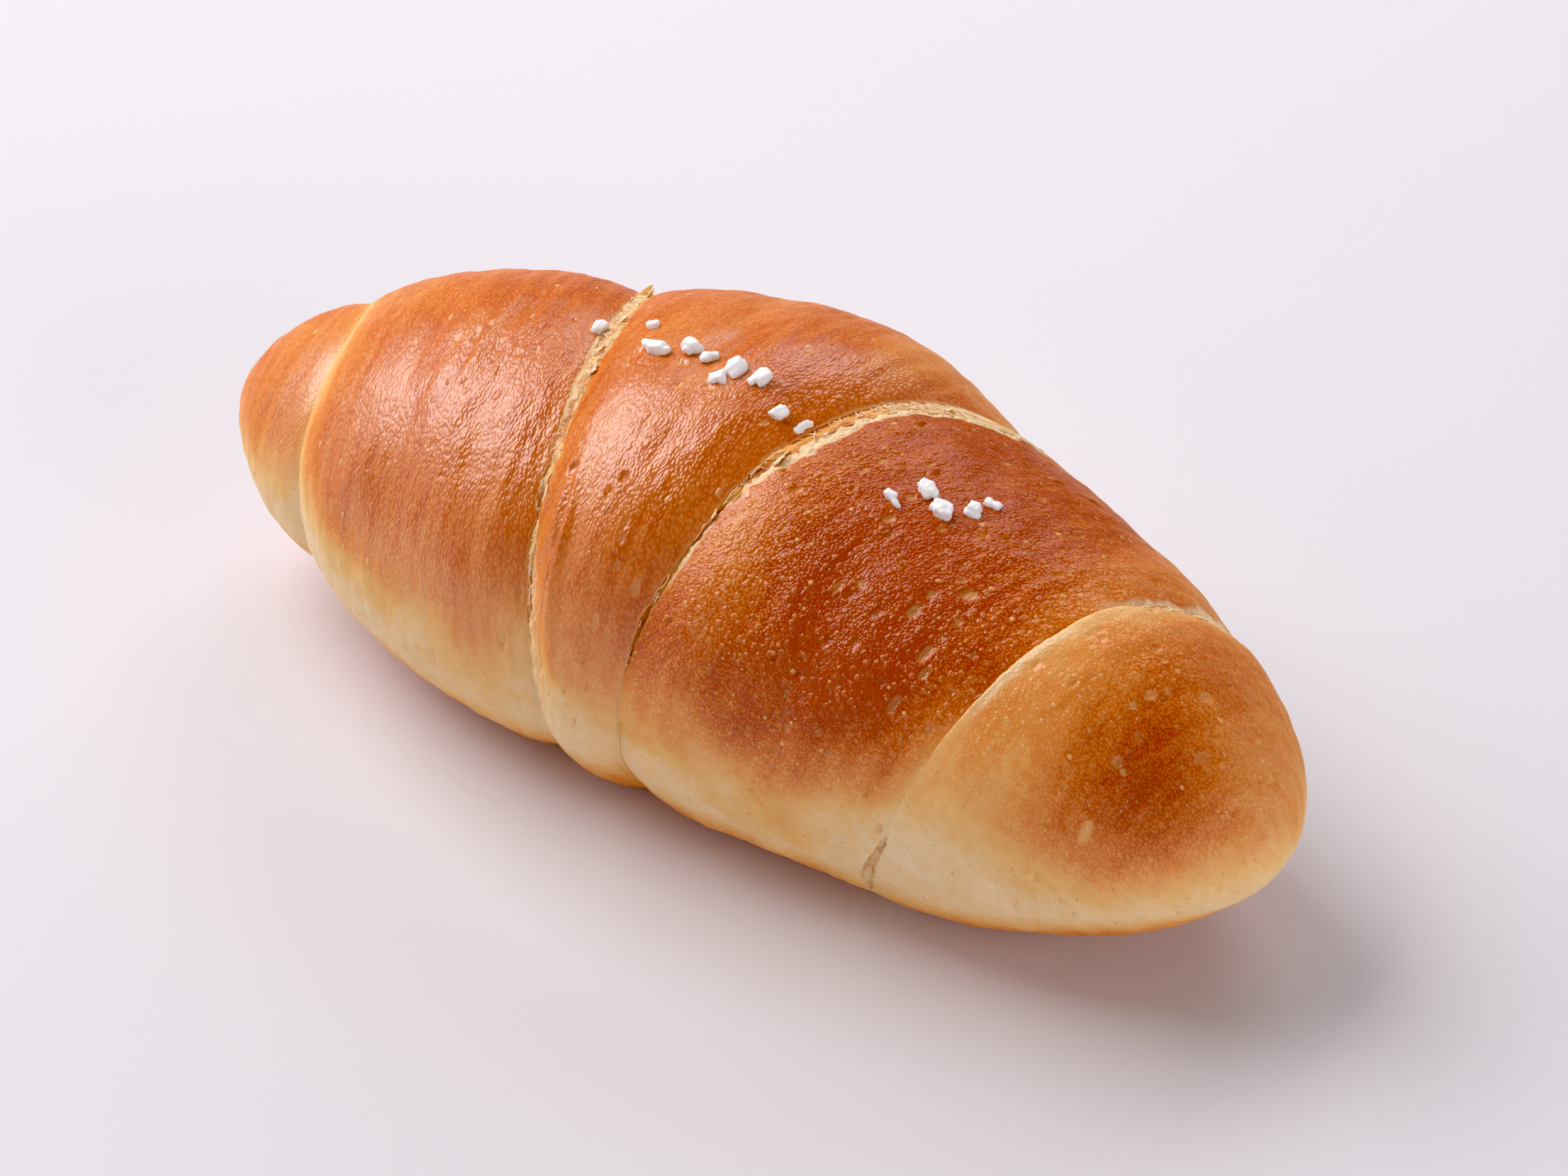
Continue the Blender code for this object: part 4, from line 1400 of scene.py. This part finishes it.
# Flakes: seam, share across it, girth angle, length and width in mm, lean in degrees
FLAKES = (
    (1, 0.30, -36, 1.6, 1.3, 40), (1, 0.75, -31, 1.6, 1.0, 30), (1, 0.62, -12, 1.4, 0.8, 14),
    (1, 0.35, 2, 1.6, 0.8, 20), (1, 0.80, 9, 1.5, 0.8, 12), (1, 0.85, 44, 2.0, 0.7, 24),
    (2, 0.95, 15, 1.7, 1.0, 20), (2, 0.80, 12.5, 1.1, 0.8, 30), (2, 0.60, -28, 1.6, 0.8, 24),
    (2, 0.20, 33, 1.2, 0.5, 30), (3, 0.40, -30, 1.4, 0.7, 26), (3, 0.60, -18, 1.2, 0.6, 20),
)


def gap_point(seam, share, angle, rise):
    """A point over a seam: share 0 on its left edge, 1 on its right edge, rise in mm."""
    turn = np.array(float(angle))
    left, right = edge_x(seam, -1, turn), edge_x(seam, 1, turn)
    start, end = skin_radius(seam, left, turn), skin_radius(seam + 1, right, turn)
    radius = start + (end - start) * np.clip(share, 0, 1) + rise * MM
    return place_on_girth(left + share * (right - left), radius, turn)


def thread_path(rng, seam, angle, crossing):
    """Points of one thread, and the share of the full radius at each."""
    if crossing:
        start, end = rng.uniform(-0.08, 0.40), rng.uniform(0.55, 1.08)
        slant = rng.normal(0, 0.7) / DEGREE_MM
    else:
        start = rng.uniform(0.1, 0.9)
        end, slant = start + rng.normal(0, 0.15), rng.uniform(0.8, 2.4) / DEGREE_MM
    hump = rng.uniform(-0.04, 0.16)
    bend = rng.normal(0, 0.25) / DEGREE_MM
    thick = rng.uniform(0.55, 1.25)
    steps = np.linspace(0, 1, THREAD_POINTS)
    wiggle = rng.normal(0, 0.05, (THREAD_POINTS, 2))
    points = []
    for t, (aside, ahead) in zip(steps, wiggle):
        arch = math.sin(math.pi * t)
        points.append(gap_point(seam, start + (end - start) * t + aside,
                                angle + slant * t + bend * arch + ahead / DEGREE_MM,
                                THREAD_RISE_MM + hump * arch))
    return points, thick * (0.45 + 0.55 * np.sin(math.pi * steps) ** 0.6)


def thread_paths():
    """Points and shares of the full radius of every thread."""
    rng = np.random.default_rng(900)
    paths = []
    for seam, first, last, across, along in THREADS:
        for number in range(across + along):
            paths.append(thread_path(rng, seam, rng.uniform(first, last), number < across))
    return paths


def grow_threads():
    """The threads as one mesh, each a thin tapered tube."""
    bpy.ops.object.select_all(action="DESELECT")
    bpy.ops.curve.primitive_bezier_curve_add()
    threads = bpy.context.object
    threads.data.splines.clear()
    threads.data.bevel_depth = settings().thread_radius
    threads.data.bevel_resolution = 1
    threads.data.use_fill_caps = True
    for points, widths in thread_paths():
        line = threads.data.splines.new("POLY")
        line.points.add(len(points) - 1)
        line.points.foreach_set("co", np.column_stack([points, np.ones(len(points))]).ravel())
        line.points.foreach_set("radius", widths)
    bpy.ops.object.convert(target="MESH")
    return bpy.context.object


def grow_flake(number, seam, share, angle, length, width, lean):
    """One torn flake: a small curled sheet with a ragged outline, standing on the seam."""
    bpy.ops.object.select_all(action="DESELECT")
    bpy.ops.mesh.primitive_grid_add(x_subdivisions=FLAKE_GRID[0], y_subdivisions=FLAKE_GRID[1],
                                    size=1.0)
    flake = bpy.context.object
    co = get_points(flake)
    ragged = 1 + 0.35 * line_noise(co[:, 0] * 6, 1.0, 930 + number)
    narrow = 1 - 0.75 * np.abs(2 * co[:, 0]) ** 2.5
    along = co[:, 0] * length * MM
    over = (co[:, 1] + 0.5) * width * MM * ragged * narrow
    tilt = math.radians(lean) * (0.5 + (co[:, 1] + 0.5))
    curl = lattice_noise(co * 3.0, 1.0, 950 + number) * 0.10 * MM
    base = Vector(gap_point(seam, share, angle, FLAKE_RISE_MM))
    axes = np.array(crust_frame(base.x, angle, 90))
    local = np.stack([along, -over * np.cos(tilt), over * np.sin(tilt) + curl], -1)
    set_points(flake, local @ axes.T + np.array(base))
    thicken = flake.modifiers.new("thicken", "SOLIDIFY")
    thicken.thickness = FLAKE_THICKNESS
    thicken.offset = 0.0
    bpy.ops.object.modifier_apply(modifier=thicken.name)
    return flake


def make_threads(material):
    """All the torn threads and flakes as one piece."""
    flakes = [grow_threads()]
    for number, plan in enumerate(FLAKES):
        flakes.append(grow_flake(number, *plan))
    finish_piece(join_pieces(flakes, "dough_threads"), material)


# ---------------------------------------------------------------- salt
# Salt grains: x, girth angle, length, width, height, turn of the length from +X in degrees
GRAINS = (
    (-0.0229, -5.5, 0.0026, 0.0016, 0.0017, 80),
    (-0.0161, -7.0, 0.0018, 0.0015, 0.0012, 10),
    (-0.0127, 1.5, 0.0039, 0.0024, 0.0022, 0),
    (-0.0091, -1.0, 0.0027, 0.0025, 0.0023, 60),
    (-0.0065, -0.5, 0.0024, 0.0020, 0.0018, 40),
    (-0.0027, 0.5, 0.0028, 0.0026, 0.0024, 70),
    (-0.0037, 4.5, 0.0022, 0.0020, 0.0017, 20),
    (0.0003, 0.5, 0.0028, 0.0022, 0.0021, 75),
    (0.0043, 5.0, 0.0027, 0.0020, 0.0020, 75),
    (0.0068, 4.0, 0.0030, 0.0015, 0.0016, 70),
    (0.0205, 10.5, 0.0027, 0.0016, 0.0017, -10),
    (0.0227, 3.0, 0.0032, 0.0024, 0.0021, -15),
    (0.0253, 6.0, 0.0030, 0.0026, 0.0020, 25),
    (0.0281, 1.0, 0.0026, 0.0022, 0.0018, 15),
    (0.0290, -4.5, 0.0026, 0.0017, 0.0017, -5),
)
GRAIN_SUNK = 0.30           # share of a grain's height that is baked into the crust
GRAIN_VOXEL = 0.00012       # size of the cells in which its lumps grow together
SLIMMEST = 0.55             # least side of a lump as a share of its longest
CHIP_DEPTHS = (0.58, 0.76)  # how far from its middle a block is chipped, as shares of its reach
GRAIN_SOFTENING = (0.5, 6)  # strength, and how often

# Roughness of the grains: length, first seed and height of each size of bump
GRAIN_BUMPS = ((0.00060, 400, 0.00013), (0.00026, 500, 0.00004))

# Lumps of a grain: centre along, across and up as shares of its half sizes, and size as a share
COMMON_LUMPS = ((0.0, 0.0, 0.0, 0.84), (0.30, -0.20, -0.10, 0.58), (-0.34, 0.22, -0.15, 0.52))

# The same for the grains that are shaped otherwise, by their number in the table above
ODD_LUMPS = {
    2: ((-0.46, 0.10, 0.0, 0.56), (0.10, -0.08, 0.05, 0.66), (0.52, -0.22, -0.10, 0.46),
        (-0.10, 0.36, -0.10, 0.44)),
    3: ((0.0, 0.10, 0.0, 0.76), (0.36, -0.40, -0.10, 0.46), (-0.44, -0.26, 0.0, 0.44)),
    4: ((-0.30, -0.10, 0.0, 0.62), (0.36, 0.20, 0.0, 0.52), (0.0, 0.45, -0.20, 0.40)),
    7: ((0.22, 0.0, 0.0, 0.74), (-0.44, 0.24, -0.10, 0.48), (0.10, -0.44, -0.2, 0.40)),
    9: ((-0.44, -0.18, 0.0, 0.52), (0.08, 0.10, 0.10, 0.46), (0.50, -0.12, 0.0, 0.46)),
    10: ((-0.36, 0.12, 0.10, 0.62), (0.20, -0.10, -0.10, 0.40), (0.56, -0.24, -0.20, 0.36)),
    11: ((-0.10, 0.10, 0.0, 0.70), (0.44, 0.20, 0.0, 0.46), (0.30, -0.48, -0.20, 0.36),
         (-0.50, -0.10, -0.10, 0.40)),
    13: ((0.0, 0.20, 0.10, 0.60), (-0.26, -0.32, -0.15, 0.52), (0.36, -0.36, -0.20, 0.44)),
    14: ((-0.30, -0.20, 0.0, 0.58), (0.36, 0.16, 0.0, 0.56)),
}


def chip_block(rng, size, place, chips):
    """A block with flat chips broken off."""
    bpy.ops.object.select_all(action="DESELECT")
    bpy.ops.mesh.primitive_cube_add(size=1.0)
    block = bpy.context.object
    block.scale = size
    bpy.ops.object.transform_apply(location=False, rotation=False, scale=True)
    bpy.ops.object.mode_set(mode="EDIT")
    for _ in range(chips):
        normal = Vector(rng.normal(0, 1, 3)).normalized()
        reach = sum(abs(normal[k]) * size[k] / 2 for k in range(3))
        distance = reach * rng.uniform(*CHIP_DEPTHS)
        bpy.ops.mesh.select_all(action="SELECT")
        bpy.ops.mesh.bisect(plane_co=tuple(normal * distance), plane_no=tuple(normal),
                            use_fill=True, clear_outer=True)
    bpy.ops.object.mode_set(mode="OBJECT")
    block.location = place
    bpy.ops.object.transform_apply(location=True, rotation=False, scale=False)
    return block


def grow_grain(rng, number, size, chips):
    """One salt grain: chipped lumps grown together, at the origin."""
    blocks = []
    for along, across, up, share in ODD_LUMPS.get(number, COMMON_LUMPS):
        lump = [length * share * rng.uniform(0.92, 1.08) for length in size]
        lump = [max(side, SLIMMEST * max(lump)) for side in lump]
        room = [(length - side) / 2 for length, side in zip(size, lump)]
        wanted = [share_of * length / 2 for share_of, length in zip((along, across, up), size)]
        place = [math.copysign(min(abs(w), max(r, 0.0)), w) for w, r in zip(wanted, room)]
        blocks.append(chip_block(rng, lump, place, chips))
    grain = join_pieces(blocks, "grain")
    fuse = grain.modifiers.new("fuse", "REMESH")
    fuse.mode = "VOXEL"
    fuse.voxel_size = GRAIN_VOXEL
    bpy.ops.object.modifier_apply(modifier=fuse.name)
    soften = grain.modifiers.new("soften", "SMOOTH")
    soften.factor, soften.iterations = GRAIN_SOFTENING
    bpy.ops.object.modifier_apply(modifier=soften.name)
    return grain


def seat_grain(grain, number, x, angle, height, turn):
    """Roughen a grain and press it into the crust."""
    co = get_points(grain)
    away = co / np.maximum(np.linalg.norm(co, axis=1, keepdims=True), 1e-9)
    rough = 0.0
    for cell, seed, tall in GRAIN_BUMPS:
        rough = rough + lattice_noise(co, cell, seed + number) * tall
    co = co + away * rough[:, None]
    axes = crust_frame(x, angle, turn)
    centre = crust_point(x, angle) + axes.col[2] * height * (0.5 - GRAIN_SUNK)
    placed = co @ np.array(axes).T + np.array(centre)
    placed[:, 2] = np.minimum(placed[:, 2], CAD_HIGH[2] - BOX_MARGIN)
    set_points(grain, placed)


def make_salt(material):
    """All the salt grains as one piece."""
    rng = np.random.default_rng(77)
    grains = []
    for number, (x, angle, length, width, height, turn) in enumerate(GRAINS):
        grain = grow_grain(rng, number, (length, width, height), settings().salt_chips)
        seat_grain(grain, number, x, angle, height, turn)
        grains.append(grain)
    finish_piece(join_pieces(grains, "salt_grains"), material)


# ---------------------------------------------------------------- stage
FLOOR_SIZE = 6.0
ROOM_COLOUR = (0.975, 0.945, 0.985)
WALL_GLOW, CEILING_GLOW = 0.45, 0.10
WALL_TOP, CEILING_FROM = 0.20, 0.75     # sines of the heights between which the glow changes

# Lamps: name, place, side of the square, watts, colour, whether it shows in reflections
LAMPS = (
    ("key_light", (-0.82, 0.0, 0.912), 0.95, 14.5, (1.0, 0.975, 0.985), True),
    ("back_light", (-0.14, 0.47, 0.40), 0.35, 0.95, (0.99, 0.965, 1.0), True),
    ("side_light", (-0.72, -0.32, 0.42), 0.50, 0.6, (1.0, 0.97, 0.99), True),
    ("fill_light", (0.550, -0.110, 0.200), 0.35, 1.10, (0.98, 0.97, 1.0), False),
)
LAMP_AIM = (0, 0, 0.02)

# The photograph's view: degrees, degrees and metres, and the lens in mm
VIEW_AZIMUTH, VIEW_ELEVATION, VIEW_DISTANCE = 32.87, 42.51, 0.54385
VIEW_LENS, SENSOR_WIDTH = 109.8, 36.0
AIM_RIGHT, AIM_HEIGHT = 0.002755, 0.0199    # what it aims at, beside and above the middle
NEAREST_SEEN, FARTHEST_SEEN = 0.01, 20.0
BLACK_POINT = (0.014, 0.028, 0.034)         # red, green and blue that come out as black


def make_floor(material):
    """The plain floor."""
    bpy.ops.object.select_all(action="DESELECT")
    bpy.ops.mesh.primitive_plane_add(size=FLOOR_SIZE, location=(0, 0, 0))
    floor = bpy.context.object
    floor.name = floor.data.name = "floor"
    floor.data.materials.append(material)


def light_room():
    """Even pale surroundings, darker overhead."""
    world = bpy.data.worlds.new("studio")
    world.use_nodes = True
    sky = world.node_tree
    direction = add_node(sky, "ShaderNodeTexCoord", {}).outputs["Generated"]
    height = add_node(sky, "ShaderNodeSeparateXYZ", {"Vector": direction}).outputs["Z"]
    glow = map_range(sky, height, WALL_TOP, CEILING_FROM, WALL_GLOW, CEILING_GLOW)
    fill_inputs(sky, sky.nodes["Background"], {"Color": rgba(ROOM_COLOUR), "Strength": glow})
    bpy.context.scene.world = world


def hang_lamp(name, place, side, watts, colour, in_reflections):
    """A square soft box turned towards the roll, which the camera doesn't see."""
    bpy.ops.object.light_add(type="AREA", location=place)
    lamp = bpy.context.object
    lamp.name = lamp.data.name = name
    lamp.data.shape = "RECTANGLE"
    lamp.data.size = lamp.data.size_y = side
    lamp.data.energy = watts
    lamp.data.color = colour
    lamp.rotation_mode = "QUATERNION"
    lamp.rotation_quaternion = (Vector(LAMP_AIM) - Vector(place)).to_track_quat("-Z", "Y")
    lamp.visible_camera = False
    lamp.visible_glossy = in_reflections


def place_camera():
    """The camera at the photograph's view of the roll."""
    azimuth, elevation = math.radians(VIEW_AZIMUTH), math.radians(VIEW_ELEVATION)
    right = Vector((math.cos(azimuth), math.sin(azimuth), 0))
    back = Vector((math.sin(azimuth) * math.cos(elevation),
                   -math.cos(azimuth) * math.cos(elevation), math.sin(elevation)))
    target = Vector((0, -MIDDLE_Y, AIM_HEIGHT)) + right * AIM_RIGHT
    bpy.ops.object.camera_add(location=target + back * VIEW_DISTANCE)
    camera = bpy.context.object
    camera.name = "camera"
    camera.rotation_mode = "QUATERNION"
    camera.rotation_quaternion = (-back).to_track_quat("-Z", "Y")
    camera.data.lens = VIEW_LENS
    camera.data.sensor_width = SENSOR_WIDTH
    camera.data.clip_start, camera.data.clip_end = NEAREST_SEEN, FARTHEST_SEEN
    camera.data.dof.use_dof = False
    bpy.context.scene.camera = camera


def set_tones():
    """Plain colours with the photograph's black level."""
    view = bpy.context.scene.view_settings
    view.view_transform = "Standard"
    view.look = "None"
    view.use_curve_mapping = True
    view.curve_mapping.black_level = BLACK_POINT


def make_stage():
    """Pale floor, soft key from the left, even pale surroundings and the photograph's view."""
    make_floor(floor_material())
    light_room()
    for lamp in LAMPS:
        hang_lamp(*lamp)
    place_camera()
    set_tones()


# ---------------------------------------------------------------- operators and panel
class BREADROLL_OT_lobes(bpy.types.Operator):
    """Make the five baked lobes"""

    bl_idname = "bread_roll.lobes"
    bl_label = "Baked lobes"

    def execute(self, context):
        material = crust_material()
        for lobe in range(5):
            make_lobe(lobe, material)
        return {"FINISHED"}


class BREADROLL_OT_dough(bpy.types.Operator):
    """Make the bare dough that shows in the open seams"""

    bl_idname = "bread_roll.dough"
    bl_label = "Bare dough in the seams"

    def execute(self, context):
        material = dough_material()
        for seam in (1, 2, 3):
            make_strip(seam, material)
        return {"FINISHED"}


class BREADROLL_OT_threads(bpy.types.Operator):
    """Make the torn threads and flakes across the open seams"""

    bl_idname = "bread_roll.threads"
    bl_label = "Threads and flakes"

    def execute(self, context):
        make_threads(thread_material())
        return {"FINISHED"}


class BREADROLL_OT_salt(bpy.types.Operator):
    """Make the coarse salt on the crest"""

    bl_idname = "bread_roll.salt"
    bl_label = "Coarse salt"

    def execute(self, context):
        make_salt(salt_material())
        return {"FINISHED"}


class BREADROLL_OT_stage(bpy.types.Operator):
    """Make the floor, the lights and the camera"""

    bl_idname = "bread_roll.stage"
    bl_label = "Stage"

    def execute(self, context):
        make_stage()
        return {"FINISHED"}


class BREADROLL_PT_panel(bpy.types.Panel):
    """Lists the steps that dress the roll"""

    bl_idname = "BREADROLL_PT_panel"
    bl_label = "Salt bread roll"
    bl_space_type = "VIEW_3D"
    bl_region_type = "UI"
    bl_category = "Bread"

    def draw(self, context):
        for name in RollSettings.__annotations__:
            self.layout.prop(context.scene.bread_roll, name)
        for step in STEPS:
            self.layout.operator(step.bl_idname)


STEPS = (BREADROLL_OT_lobes, BREADROLL_OT_dough, BREADROLL_OT_threads, BREADROLL_OT_salt,
         BREADROLL_OT_stage)
CLASSES = (RollSettings, *STEPS, BREADROLL_PT_panel)


def register():
    """Make the settings, the operators and the panel known to Blender."""
    for cls in CLASSES:
        bpy.utils.register_class(cls)
    bpy.types.Scene.bread_roll = PointerProperty(type=RollSettings)


def unregister():
    """Undo register."""
    del bpy.types.Scene.bread_roll
    for cls in reversed(CLASSES):
        bpy.utils.unregister_class(cls)


def main():
    """Make every piece and the stage."""
    register()
    bpy.ops.bread_roll.lobes()
    bpy.ops.bread_roll.dough()
    bpy.ops.bread_roll.threads()
    bpy.ops.bread_roll.salt()
    bpy.ops.bread_roll.stage()


if __name__ == "__main__":
    main()
